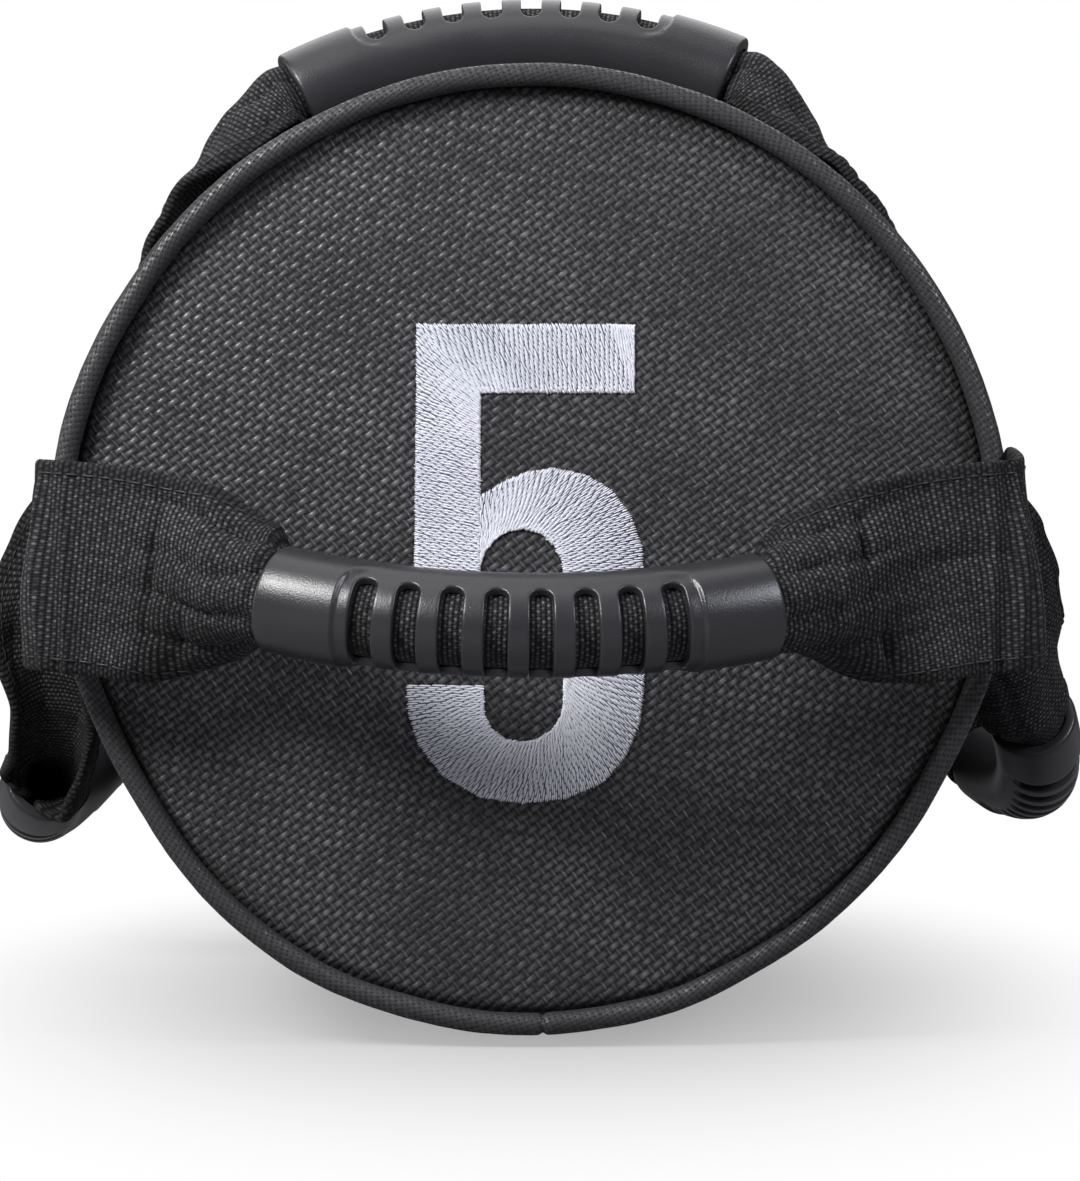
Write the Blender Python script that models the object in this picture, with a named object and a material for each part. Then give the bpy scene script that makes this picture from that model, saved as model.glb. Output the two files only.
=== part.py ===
"""Sandbag trainer: a soft weighted cylinder with six webbing handles.

Metres, +Z up. The bag lies along Y on the plane Z = 0, with the origin on that plane
under its middle. The front end handle faces -Y.
"""

from math import acos, asin, cos, hypot, pi, radians, sin, sqrt, tau

import bmesh
import bpy
from mathutils import Matrix, Vector

# Bag body
BAG_LENGTH = 0.500  # between the two end seams
SEAM_RADIUS = 0.113  # outer face of the barrel cloth at the end seams
BELLY = 0.006  # how far the filled barrel swells past its seams
UNDERSIDE_SAG = 0.0047  # further swell of the loaded underside
SWELL_POWER = 3  # how full the barrel stays towards its ends
SAG_POWER = 4  # how close to the floor the sag keeps
FLOOR_FLATTENING = 0.0027  # how far the floor presses the underside flat
CLOTH = 0.0012  # coated cloth
GAP = 0.0003  # clearance between pieces that touch
PANEL_DOME = 0.004  # how far the end panels bulge
PIPING_RADIUS = 0.00275  # covered cord round each end seam

# Webbing
WEBBING_WIDTH = 0.050
WEBBING_THICKNESS = 0.0026  # two layers, where it is sewn down or pulled tight
ROLLED_RADIUS = 0.0088  # the webbing rolled up inside a grip
FLAT_CORNER_SHARE = 0.9  # of half its width, where a flat webbing's edges start to round
ROLLED_CORNER_SHARE = 0.414
GATHER_START_SHARE = 0.35  # of the leg's length, where the webbing starts to roll up
GATHER_POWER = 1.3  # how late it thickens as it rolls up
NARROWING_POWER = 1.6  # how late it narrows towards the grip

# Sewn-down webbing ends
END_SEWN_INSET = 0.0177  # end seam to the free edge of an end handle's sewn webbing
END_SEWN_LENGTH = 0.060
SIDE_SEWN_LENGTH = 0.050
TOP_SEWN_LENGTH = 0.031
SEWN_SPACING = 0.0073  # bare cloth between neighbouring sewn ends
SEWN_SEAT = 0.0004  # sewn webbing above the barrel's round surface

# Moulded grips
GRIP_SPAN = 0.124  # tip to tip
GRIP_CURVE_RADIUS = 0.126  # of its bowed centre line
COLLAR_RADIUS = 0.0126
RECESS_DEPTH = 0.0009  # the slotted panel lies this far below the collars
GRIP_BORE_RADIUS = 0.0098
COLLAR_LENGTH = 0.018
COLLAR_CHAMFER = 0.0012
SHOULDER_RUN = 0.0008  # length of the step from collar to slotted panel
SHOULDER_CORNER = 0.004  # rounding of the slotted panel's corners
CORNER_POWER = 4  # how close to the panel's side its corner starts
SLOT_WIDTH = 0.006
SLOT_REACH = 0.0113  # half the slot's length, measured across the grip
SLOT_PITCH = 0.01065
SLOT_MARGIN = 0.004  # plain panel between the last slot and the shoulder
SLOT_FLOOR = 0.0030  # how far above the grip's centre line a slot stops

# Where the handles rest
END_GRIP_REACH = 0.035  # grip tips in front of the end seam
END_GRIP_DROP = 0.0135  # grip tips below the bag's axis
END_SEWN_DROP = 0.005  # sewn webbing below the bag's axis
END_GRIP_DROOP = radians(25)
END_FRONT_SLIP = 0.0029  # the front grip has slid this far left along its webbing
END_FRONT_ROLL = radians(0.85)  # and its right tip hangs lower
END_FLARE_SHARE = 0.16  # of the seam radius, how wide the fold swings
END_LEAVE_SHARE = 0.30  # of the way forward from the sewn edge to the grip
END_SWING_SHARE = 0.95
TOP_INSET = 0.085  # top grips' centre from the end seam
TOP_GRIP_CLEARANCE = 0.0006
TOP_FRONT_LEAN = radians(-2.2)  # the front top handle has slipped round the bag
TOP_FRONT_TILT = radians(17)  # and its grip has rolled back
TOP_LEAVE_SHARE = 0.24  # of the webbing's width, how far it leaves along the barrel
TOP_SWING_SHARE = 0.30  # of the webbing's width, how far it swings off the barrel
SIDE_SEWN_RISE = 0.009  # sewn webbing above the bag's axis
SIDE_GRIP_OUT = 0.0198  # grip tips outside the barrel's belly, left handle
SIDE_GRIP_DROP = 0.0673  # grip tips below the bag's axis, left handle
SIDE_GRIP_TILT = radians(38)
RIGHT_GRIP_OUT = 0.0249
RIGHT_GRIP_DROP = 0.0592
RIGHT_GRIP_TILT = radians(32)
RIGHT_GRIP_PITCH = radians(9.7)
SIDE_LEAVE_SHARE = 0.24  # of the webbing's width, how far it leaves along the barrel
SIDE_SWING_SHARE = 0.90  # of the webbing's width, how far it swings off the barrel

# Zip
ZIP_SPACING = 0.0125  # top handle webbing to the zip's end
ZIP_SLIT_HALF = 0.007
ZIP_SLIT_OVERRUN = 0.0025
ZIP_TAPE_WIDTH = 0.016
ZIP_TAPE_THICKNESS = 0.0008
ZIP_TAPE_DROP = 0.0009  # tape below the inside of the barrel cloth
ZIP_TAPE_OVERRUN = 0.010
ZIP_TAPE_PARTING = 0.0013  # half the slot between the two tapes
TOOTH_HEIGHT = 0.0018
TOOTH_PITCH = 0.0072
TOOTH_LENGTH = 0.0028  # along the zip
TOOTH_REACH = 0.0010  # past the zip's centre line
TOOTH_PHASE_SHARES = {-1: 0.25, 1: 0.75}  # of the pitch; the two sides' teeth alternate
TOOTH_CORD_OUTER = 0.0034
TOOTH_CORD_INNER = 0.0022
STOP_LENGTH = 0.003
SLIDER_LENGTH = 0.014
SLIDER_HALF_WIDTH = 0.0054
SLIDER_PLATE = 0.0012
SLIDER_DIVIDER_HALF = 0.0009
SLIDER_DIVIDER_LENGTH = 0.0035
ARCH_HALF_WIDTH = 0.0010
ARCH_LENGTH = 0.0100
ARCH_THICKNESS = 0.0012
PULL_LENGTH = 0.030
PULL_HALF_WIDTH = 0.0045
PULL_THICKNESS = 0.0014
PULL_WINDOW_HALF = 0.0026
PULL_WINDOW_LENGTH = 0.0080
PULL_BAR = 0.0016

# Filling
FILLING_SLACK = 0.0009  # between the barrel cloth and the sleeve of filling
END_PAD_THICKNESS = 0.015
POUCH_RADIUS = 0.047
POUCH_WALL = 0.0010
POUCH_NECK_RADIUS = 0.015
POUCH_NECK_LENGTH = 0.020
POUCH_SHOULDER_SHARE = 0.35  # of the pouch's radius, how its ends round off
POUCH_CLOSURE_RADIUS = 0.002
PADDING_GROOVE_HALF = 0.018
PADDING_GROOVE_DEPTH = 0.0006  # clear space under the zip slider

# Facets
BARREL_SIDES = 40
PIPING_SIDES = 6
POUCH_SIDES = 20
CLOSURE_SIDES = 6
GRIP_BEND_STEPS = 5
SLOT_END_STEPS = 3
SLIT_END_STEPS = 4
TAPE_STEPS = 3
LEG_STEPS = 6
PATCH_ROWS = 2
PATCH_COLUMNS = 4
BARREL_STATION_SHARES = (1, 0.94, 0.84, 0.66, 0.44, 0.16)  # of half the length
PANEL_RING_SHARES = (0.2, 0.6, 1)  # of the end panel's radius
GRIP_RECESS_SHARES = (0, 0.33, 0.66, 1)  # of the slotted panel's half angle
GRIP_BACK_SHARES = (0.03, 0.5, 1)  # from the panel's edge round to the back
GRIP_RECESS_ANGLE = radians(84)

HALF_LENGTH = BAG_LENGTH / 2
AXIS_HEIGHT = SEAM_RADIUS + BELLY + UNDERSIDE_SAG - FLOOR_FLATTENING
BELLY_RADIUS = SEAM_RADIUS + BELLY
SLOTTED_RADIUS = COLLAR_RADIUS - RECESS_DEPTH
ROLLED_HALF = ROLLED_RADIUS * cos(pi / 8)
PAD_FACE_Y = HALF_LENGTH - CLOTH - GAP
PADDING_END_Y = PAD_FACE_Y - END_PAD_THICKNESS - GAP
GRIP_HALF_ANGLE = asin(GRIP_SPAN / 2 / (GRIP_CURVE_RADIUS + COLLAR_RADIUS))
TOP_Y = HALF_LENGTH - TOP_INSET
END_FOLD_Y = HALF_LENGTH - END_SEWN_INSET
SIDE_FOLD_Y = END_FOLD_Y - END_SEWN_LENGTH - SEWN_SPACING - SIDE_SEWN_LENGTH
SIDE_SEWN_ANGLE = acos(SIDE_SEWN_RISE / BELLY_RADIUS)
END_SEWN_ANGLE = acos(-END_SEWN_DROP / BELLY_RADIUS)
WEBBING_HALF_ANGLE = WEBBING_WIDTH / 2 / BELLY_RADIUS
SEWN_SPACING_ANGLE = SEWN_SPACING / BELLY_RADIUS
SIDE_SEWN_TOP_ANGLE = SIDE_SEWN_ANGLE - WEBBING_HALF_ANGLE
TOP_SEWN_LOW_ANGLE = SIDE_SEWN_TOP_ANGLE - abs(TOP_FRONT_LEAN) - SEWN_SPACING_ANGLE / 2
TOP_SEWN_HIGH_ANGLE = TOP_SEWN_LOW_ANGLE - TOP_SEWN_LENGTH / BELLY_RADIUS
ZIP_HALF = TOP_Y - WEBBING_WIDTH / 2 - ZIP_SPACING


def clear_scene():
    for existing in list(bpy.data.objects):
        bpy.data.objects.remove(existing, do_unlink=True)


def material(name, colour, roughness, metallic=0.0):
    """A Principled material, or the one already made under that name."""
    made = bpy.data.materials.get(name)
    if made is None:
        made = bpy.data.materials.new(name)
        made.use_nodes = True
        shader = made.node_tree.nodes["Principled BSDF"]
        shader.inputs["Base Color"].default_value = (*colour, 1.0)
        shader.inputs["Roughness"].default_value = roughness
        shader.inputs["Metallic"].default_value = metallic
        made.diffuse_color = (*colour, 1.0)
    return made


def barrel_cloth():
    return material("coated_cloth", (0.026, 0.026, 0.029), 0.55)


def webbing_cloth():
    return material("polyester_webbing", (0.020, 0.020, 0.022), 0.75)


def grip_rubber():
    return material("moulded_grip_rubber", (0.045, 0.045, 0.048), 0.42)


def zip_metal():
    return material("blackened_zinc", (0.06, 0.06, 0.065), 0.35, 0.9)


def add_object(name, mesh, finish):
    mesh.name = name
    mesh.materials.clear()
    mesh.materials.append(finish)
    mesh.shade_smooth()
    mesh.set_sharp_from_angle(angle=radians(40))
    made = bpy.data.objects.new(name, mesh)
    bpy.context.scene.collection.objects.link(made)
    return made


def add_cutter(name, mesh):
    made = bpy.data.objects.new(name, mesh)
    made.hide_render = True
    made.display_type = "WIRE"
    bpy.context.scene.collection.objects.link(made)
    return made


def combine(target, other, operation):
    """A Boolean modifier on target, left live."""
    step = target.modifiers.new(other.name, "BOOLEAN")
    step.operation = operation
    step.solver = "EXACT"
    step.object = other


def loft(name, rings, closed=False):
    """Skin equal rings of points in order; cap both ends, or join last to first."""
    made = bmesh.new()
    rows = [[made.verts.new(point) for point in ring] for ring in rings]
    count = len(rows[0])
    pairs = list(zip(rows, rows[1:]))
    if closed:
        pairs.append((rows[-1], rows[0]))
    else:
        made.faces.new(rows[0])
        made.faces.new(rows[-1])
    for near, far in pairs:
        for i in range(count):
            j = (i + 1) % count
            made.faces.new((near[i], near[j], far[j], far[i]))
    bmesh.ops.recalc_face_normals(made, faces=made.faces)
    mesh = bpy.data.meshes.new(name)
    made.to_mesh(mesh)
    made.free()
    return mesh


def box(name, low, high):
    x0, y0, z0 = low
    x1, y1, z1 = high
    rings = [[(x0, y0, z), (x1, y0, z), (x1, y1, z), (x0, y1, z)] for z in (z0, z1)]
    return loft(name, rings)


def circle_ring(y, radius, sides):
    """Points round the bag's axis at one station."""
    angles = [tau * (i + 0.5) / sides for i in range(sides)]
    return [Vector((radius * sin(a), y, AXIS_HEIGHT + radius * cos(a))) for a in angles]


def barrel_radius(y, angle):
    """Outer radius of the cloth; the angle is measured from the top towards +X."""
    swell = 1 - min(1, abs(y) / HALF_LENGTH) ** SWELL_POWER
    sag = ((1 - cos(angle)) / 2) ** SAG_POWER
    return SEAM_RADIUS + swell * (BELLY + UNDERSIDE_SAG * sag)


def barrel_point(y, angle, lift=0.0):
    """A point above the barrel's outer face; the floor keeps the underside flat."""
    radius = barrel_radius(y, angle) + lift
    height = AXIS_HEIGHT + radius * cos(angle)
    return Vector((radius * sin(angle), y, max(height, -min(lift, 0))))


def barrel_stations():
    """Stations along Y, from front to rear, with none at the middle."""
    front = [-HALF_LENGTH * share for share in BARREL_STATION_SHARES]
    return front + [-y for y in reversed(front)]


def barrel_sleeve(name, stations, lift_outer, inner_ring):
    """A sleeve whose outside follows the barrel, with inner_ring(angle) inside."""
    rings = []
    for i in range(BARREL_SIDES):
        angle = tau * (i + 0.5) / BARREL_SIDES
        outside = [barrel_point(y, angle, lift_outer) for y in stations]
        rings.append(outside + inner_ring(angle))
    return loft(name, rings, closed=True)


def zip_slit_cutter():
    """The slot through the barrel cloth, round at both ends."""
    half = ZIP_HALF + ZIP_SLIT_OVERRUN
    rim = []
    for end in (1, -1):
        for step in range(SLIT_END_STEPS + 1):
            turn = pi * step / SLIT_END_STEPS
            x = end * ZIP_SLIT_HALF * cos(turn)
            rim.append((x, end * (half - ZIP_SLIT_HALF + ZIP_SLIT_HALF * sin(turn))))
    base = AXIS_HEIGHT + SEAM_RADIUS / 2
    top = AXIS_HEIGHT + BELLY_RADIUS + PIPING_RADIUS
    rings = [[(x, y, z) for x, y in rim] for z in (base, top)]
    return add_cutter("zip_slit_cutter", loft("zip_slit_cutter", rings))


def barrel_panel():
    stations = barrel_stations()

    def inside(angle):
        return [barrel_point(y, angle, -CLOTH) for y in reversed(stations)]

    mesh = barrel_sleeve("barrel_panel", stations, 0.0, inside)
    made = add_object("barrel_panel", mesh, barrel_cloth())
    combine(made, zip_slit_cutter(), "DIFFERENCE")


def end_panel(name, facing):
    """A thin round panel in the barrel's mouth, bulged outwards; facing is -1 or 1."""
    rim = SEAM_RADIUS - CLOTH - GAP
    radii = [rim * share for share in PANEL_RING_SHARES]
    rings = []
    for radius in radii:
        y = HALF_LENGTH + PANEL_DOME * (1 - (radius / rim) ** 2)
        rings.append(circle_ring(facing * y, radius, BARREL_SIDES))
    for radius in reversed(radii):
        y = HALF_LENGTH - CLOTH + PANEL_DOME * (1 - (radius / rim) ** 2)
        rings.append(circle_ring(facing * y, radius, BARREL_SIDES))
    add_object(name, loft(name, rings), barrel_cloth())


def piping(name, facing):
    """The covered cord, seated on the seam between barrel and end panel."""
    centre_radius = SEAM_RADIUS - CLOTH / 3
    centre_y = HALF_LENGTH + GAP + PIPING_RADIUS
    rings = []
    for i in range(PIPING_SIDES):
        turn = tau * (i + 0.5) / PIPING_SIDES
        radius = centre_radius + PIPING_RADIUS * cos(turn)
        y = facing * (centre_y + PIPING_RADIUS * sin(turn))
        rings.append(circle_ring(y, radius, BARREL_SIDES))
    mesh = loft(name, rings, closed=True)
    add_object(name, mesh, material("piping_cloth", (0.030, 0.030, 0.033), 0.6))


def sewn_patch(name, y_range, angle_range):
    """Webbing sewn flat on the barrel between two stations and two angles."""
    rings = []
    for row in range(PATCH_ROWS + 1):
        y = y_range[0] + (y_range[1] - y_range[0]) * row / PATCH_ROWS
        angles = [
            angle_range[0] + (angle_range[1] - angle_range[0]) * column / PATCH_COLUMNS
            for column in range(PATCH_COLUMNS + 1)
        ]
        low = [barrel_point(y, angle, SEWN_SEAT) for angle in angles]
        high = [barrel_point(y, angle, SEWN_SEAT + WEBBING_THICKNESS) for angle in angles]
        rings.append(low + high[::-1])
    add_object(name, loft(name, rings), webbing_cloth())


def slot_places():
    """Angles of the slots along the grip's bow, as many as the panel holds."""
    outer = GRIP_CURVE_RADIUS + SLOTTED_RADIUS
    panel = 2 * (GRIP_HALF_ANGLE * outer - COLLAR_LENGTH)
    count = 1 + int((panel - SLOT_WIDTH - 2 * SLOT_MARGIN) / SLOT_PITCH)
    return [(i - (count - 1) / 2) * SLOT_PITCH / outer for i in range(count)]


def grip_ring(bend, across):
    """Points round the bowed centre line; across(angle) gives (radius, extra bend)."""
    shares = [s * GRIP_RECESS_ANGLE for s in GRIP_RECESS_SHARES]
    shares += [GRIP_RECESS_ANGLE + s * (pi - GRIP_RECESS_ANGLE) for s in GRIP_BACK_SHARES]
    angles = shares + [-a for a in reversed(shares[1:-1])]
    ring = []
    for angle in angles:
        radius, extra = across(abs(angle))
        turn = bend + extra
        reach = GRIP_CURVE_RADIUS + radius * cos(angle)
        height = reach * cos(turn) - GRIP_CURVE_RADIUS * cos(GRIP_HALF_ANGLE)
        ring.append(Vector((reach * sin(turn), radius * sin(angle), height)))
    return ring


def slot_cutter():
    """One prism with round ends for each slot, pushed in from the bowed side."""
    made = bmesh.new()
    straight = SLOT_REACH - SLOT_WIDTH / 2
    rim = []
    for end in (1, -1):
        for step in range(SLOT_END_STEPS + 1):
            turn = pi * step / SLOT_END_STEPS
            along = end * SLOT_WIDTH / 2 * cos(turn)
            rim.append((along, end * (straight + SLOT_WIDTH / 2 * sin(turn))))
    for bend in slot_places():
        outward = Vector((sin(bend), 0, cos(bend)))
        forward = Vector((cos(bend), 0, -sin(bend)))
        middle = outward * GRIP_CURVE_RADIUS
        middle.z -= GRIP_CURVE_RADIUS * cos(GRIP_HALF_ANGLE)
        rows = []
        for level in (SLOT_FLOOR, COLLAR_RADIUS + SLOT_WIDTH):
            centre = middle + outward * level
            rows.append([
                made.verts.new(centre + forward * along + Vector((0, side, 0)))
                for along, side in rim
            ])
        made.faces.new(rows[0])
        made.faces.new(rows[1])
        for i in range(len(rim)):
            j = (i + 1) % len(rim)
            made.faces.new((rows[0][i], rows[0][j], rows[1][j], rows[1][i]))
    bmesh.ops.recalc_face_normals(made, faces=made.faces)
    mesh = bpy.data.meshes.new("slot_cutter")
    made.to_mesh(mesh)
    made.free()
    return add_cutter("slot_cutter", mesh)


def grip_mesh():
    """The bowed sleeve: two collars, a lower slotted panel between them and a bore.

    Local frame: X runs from tip to tip, Z is the bowed side, the tips lie at Z = 0.
    """
    outer = GRIP_CURVE_RADIUS + COLLAR_RADIUS
    chamfer = COLLAR_CHAMFER / outer
    shoulder = GRIP_HALF_ANGLE - COLLAR_LENGTH / outer
    foot = shoulder - SHOULDER_RUN / outer

    def plain(radius):
        return lambda angle: (radius, 0.0)

    def drawn_in(angle):
        """How far the panel's corners are drawn in towards its middle."""
        return SHOULDER_CORNER / outer * min(1, angle / GRIP_RECESS_ANGLE) ** CORNER_POWER

    def slotted(side):
        def across(angle):
            inside = angle <= GRIP_RECESS_ANGLE
            return (SLOTTED_RADIUS if inside else COLLAR_RADIUS), -side * drawn_in(angle)
        return across

    def collar_edge(side):
        return lambda angle: (COLLAR_RADIUS, -side * drawn_in(angle))

    rings = [
        grip_ring(-GRIP_HALF_ANGLE, plain(COLLAR_RADIUS - COLLAR_CHAMFER)),
        grip_ring(-GRIP_HALF_ANGLE + chamfer, plain(COLLAR_RADIUS)),
        grip_ring(-shoulder, collar_edge(-1)),
    ]
    for step in range(GRIP_BEND_STEPS + 1):
        bend = foot * (2 * step / GRIP_BEND_STEPS - 1)
        side = {0: -1, GRIP_BEND_STEPS: 1}.get(step, 0)
        rings.append(grip_ring(bend, slotted(side)))
    rings += [
        grip_ring(shoulder, collar_edge(1)),
        grip_ring(GRIP_HALF_ANGLE - chamfer, plain(COLLAR_RADIUS)),
        grip_ring(GRIP_HALF_ANGLE, plain(COLLAR_RADIUS - COLLAR_CHAMFER)),
    ]
    for step in range(GRIP_BEND_STEPS + 1):
        bend = GRIP_HALF_ANGLE * (1 - 2 * step / GRIP_BEND_STEPS)
        rings.append(grip_ring(bend, plain(GRIP_BORE_RADIUS)))
    sleeve = add_object("grip_blank", loft("grip_blank", rings, closed=True), grip_rubber())
    cutter = slot_cutter()
    combine(sleeve, cutter, "DIFFERENCE")
    evaluated = sleeve.evaluated_get(bpy.context.evaluated_depsgraph_get())
    mesh = bpy.data.meshes.new_from_object(evaluated)
    bpy.data.objects.remove(sleeve)
    bpy.data.objects.remove(cutter)
    return mesh


class Bow:
    """Where one handle's grip rests: the middle of its tips, its chord and bowed side."""

    def __init__(self, middle, chord, bowed):
        self.middle = Vector(middle)
        self.chord = Vector(chord).normalized()
        self.bowed = Vector(bowed)
        self.bowed -= self.chord * self.bowed.dot(self.chord)
        self.bowed.normalize()
        self.across = self.bowed.cross(self.chord)

    def matrix(self):
        turn = Matrix((self.chord, self.across, self.bowed)).transposed().to_4x4()
        return Matrix.Translation(self.middle) @ turn

    def centre(self, bend):
        """A point of the grip's centre line."""
        height = GRIP_CURVE_RADIUS * (cos(bend) - cos(GRIP_HALF_ANGLE))
        return self.middle + self.chord * (GRIP_CURVE_RADIUS * sin(bend)) + self.bowed * height

    def direction(self, bend):
        return self.chord * cos(bend) - self.bowed * sin(bend)


def webbing_ring(centre, along, width_way, half_width, half_thickness, corner_share):
    """Eight points round the webbing, square to the way that it runs."""
    side = (width_way - along * width_way.dot(along)).normalized()
    up = along.cross(side)
    inner = corner_share
    outline = ((-1, -inner), (-inner, -1), (inner, -1), (1, -inner))
    outline += ((1, inner), (inner, 1), (-inner, 1), (-1, inner))
    return [centre + side * (half_width * a) + up * (half_thickness * b) for a, b in outline]


def bezier(points, t):
    """Place and direction at t on the curve that these points pull."""
    level = list(points)
    while len(level) > 2:
        level = [a.lerp(b, t) for a, b in zip(level, level[1:])]
    return level[0].lerp(level[1], t), (level[1] - level[0]).normalized()


def leg_rings(bow, end, fold, leaving, swing, width_way):
    """Webbing from its sewn edge to one tip of the grip; end is -1 or 1.

    It leaves along the sewn webbing, swings clear of the bag and turns into the grip.
    """
    tip = bow.centre(end * GRIP_HALF_ANGLE)
    arriving = bow.direction(end * GRIP_HALF_ANGLE) * end
    reach = (tip - fold).length
    points = (fold, fold + leaving, fold + swing, tip + arriving * (reach / 3), tip)
    tip_way = bow.across if bow.across.dot(width_way) > 0 else -bow.across
    rings = []
    for step in range(LEG_STEPS):
        t = step / LEG_STEPS
        centre, along = bezier(points, t)
        way = width_way.lerp(tip_way, t)
        rolled = max(0, (t - GATHER_START_SHARE) / (1 - GATHER_START_SHARE)) ** GATHER_POWER
        narrowed = t ** NARROWING_POWER
        half_width = WEBBING_WIDTH / 2 + (ROLLED_HALF - WEBBING_WIDTH / 2) * narrowed
        half_thick = WEBBING_THICKNESS / 2 + (ROLLED_HALF - WEBBING_THICKNESS / 2) * rolled
        corner = FLAT_CORNER_SHARE + (ROLLED_CORNER_SHARE - FLAT_CORNER_SHARE) * rolled
        rings.append(webbing_ring(centre, along, way, half_width, half_thick, corner))
    return rings


def webbing_loop(name, bow, folds):
    """One length of webbing: sewn edge, grip, sewn edge. folds holds what leg_rings takes."""
    near, far = folds
    rings = leg_rings(bow, -1, *near)
    steps = GRIP_BEND_STEPS
    tip_way = bow.across if bow.across.dot(near[-1]) > 0 else -bow.across
    for step in range(steps + 1):
        bend = GRIP_HALF_ANGLE * (2 * step / steps - 1)
        rings.append(webbing_ring(
            bow.centre(bend), bow.direction(bend), tip_way,
            ROLLED_HALF, ROLLED_HALF, ROLLED_CORNER_SHARE))
    rings += reversed(leg_rings(bow, 1, *far))
    rings = align_rings(rings)
    return add_object(name, loft(name, rings), webbing_cloth())


def align_rings(rings):
    """Turn each ring so that it starts next to the one before, wound the same way."""
    aligned = [rings[0]]
    count = len(rings[0])
    for ring in rings[1:]:
        before = aligned[-1]
        choices = []
        for wound in (ring, ring[::-1]):
            for start in range(count):
                turned = wound[start:] + wound[:start]
                cost = sum((a - b).length_squared for a, b in zip(before, turned))
                choices.append((cost, turned))
        aligned.append(min(choices, key=lambda choice: choice[0])[1])
    return aligned


def hinge_empty(name, place):
    made = bpy.data.objects.new(name, None)
    made.location = place
    made.empty_display_size = WEBBING_WIDTH
    bpy.context.scene.collection.objects.link(made)
    return made


def hang_on(parent, pieces):
    """Parent the pieces to an empty on the joint, each staying where it is."""
    bpy.context.view_layer.update()
    for piece in pieces:
        piece.parent = parent
        piece.matrix_parent_inverse = parent.matrix_world.inverted()


def handle(name, mesh, bow, folds, pivot):
    grip = add_object(f"{name}_grip", mesh.copy(), grip_rubber())
    grip.matrix_world = bow.matrix()
    loop = webbing_loop(f"{name}_loop", bow, folds)
    hang_on(hinge_empty(f"{name}_pivot", pivot), (grip, loop))


def end_handle(name, mesh, facing, slip, roll):
    """Across a round end: sewn to both flanks, folded over the piping, drooping."""
    half_angle = WEBBING_HALF_ANGLE
    for side_name, side in (("left", -1), ("right", 1)):
        edge = facing * END_FOLD_Y
        inner = facing * (END_FOLD_Y - END_SEWN_LENGTH)
        middle = side * END_SEWN_ANGLE
        sewn_patch(
            f"{name}_sewn_{side_name}", sorted((edge, inner)),
            (middle - half_angle, middle + half_angle))
    bow = Bow(
        (-slip, facing * (HALF_LENGTH + END_GRIP_REACH), AXIS_HEIGHT - END_GRIP_DROP),
        (cos(roll), 0, -sin(roll)),
        (0, facing * cos(END_GRIP_DROOP), -sin(END_GRIP_DROOP)))
    folds = []
    for side in (-1, 1):
        lift = SEWN_SEAT + WEBBING_THICKNESS / 2
        fold = barrel_point(facing * (END_FOLD_Y + GAP), side * END_SEWN_ANGLE, lift)
        # It swings wide of the piping before it turns in towards the grip.
        ahead = Vector((0, facing * (END_SEWN_INSET + END_GRIP_REACH), 0))
        outward = Vector((side * SEAM_RADIUS * END_FLARE_SHARE, 0, 0))
        swing = ahead * END_SWING_SHARE + outward
        folds.append((fold, ahead * END_LEAVE_SHARE, swing, Vector((0, 0, 1))))
    pivot = (0, facing * END_FOLD_Y, AXIS_HEIGHT - END_SEWN_DROP)
    handle(name, mesh, bow, folds, pivot)


def top_handle(name, mesh, facing, lean, tilt):
    """Round the top of the barrel, its grip resting on the cloth."""
    y = facing * TOP_Y
    for side_name, side in (("left", -1), ("right", 1)):
        angles = sorted((lean + side * TOP_SEWN_HIGH_ANGLE, lean + side * TOP_SEWN_LOW_ANGLE))
        sewn_patch(
            f"{name}_sewn_{side_name}",
            (y - WEBBING_WIDTH / 2, y + WEBBING_WIDTH / 2), angles)
    tip_reach = GRIP_CURVE_RADIUS * sin(GRIP_HALF_ANGLE)
    fullest = barrel_radius(abs(y) - COLLAR_RADIUS, 0.0)
    seat_radius = fullest + COLLAR_RADIUS + TOP_GRIP_CLEARANCE
    tip_height = sqrt(seat_radius ** 2 - tip_reach ** 2)
    up = Vector((sin(lean), 0, cos(lean)))
    chord = Vector((cos(lean), 0, -sin(lean)))
    axis_point = Vector((0, y, AXIS_HEIGHT))
    bowed = up * cos(tilt) - Vector((0, facing * sin(tilt), 0))
    bow = Bow(axis_point + up * tip_height, chord, bowed)
    # The barrel is fuller under the webbing's inner edge than under its middle.
    inner_edge = abs(y) - WEBBING_WIDTH / 2
    fuller = barrel_radius(inner_edge, 0.0) - barrel_radius(y, 0.0)
    folds = []
    for side in (-1, 1):
        angle = lean + side * (TOP_SEWN_HIGH_ANGLE - GAP / BELLY_RADIUS)
        fold = barrel_point(y, angle, SEWN_SEAT + WEBBING_THICKNESS / 2 + fuller)
        tangent = Vector((-cos(angle), 0, sin(angle))) * side
        outward = Vector((sin(angle), 0, cos(angle)))
        leaving = tangent * (WEBBING_WIDTH * TOP_LEAVE_SHARE)
        swing = leaving * 2 + outward * (WEBBING_WIDTH * TOP_SWING_SHARE)
        folds.append((fold, leaving, swing, Vector((0, 1, 0))))
    pivot = axis_point + up * tip_height
    handle(name, mesh, bow, folds, pivot)


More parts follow.
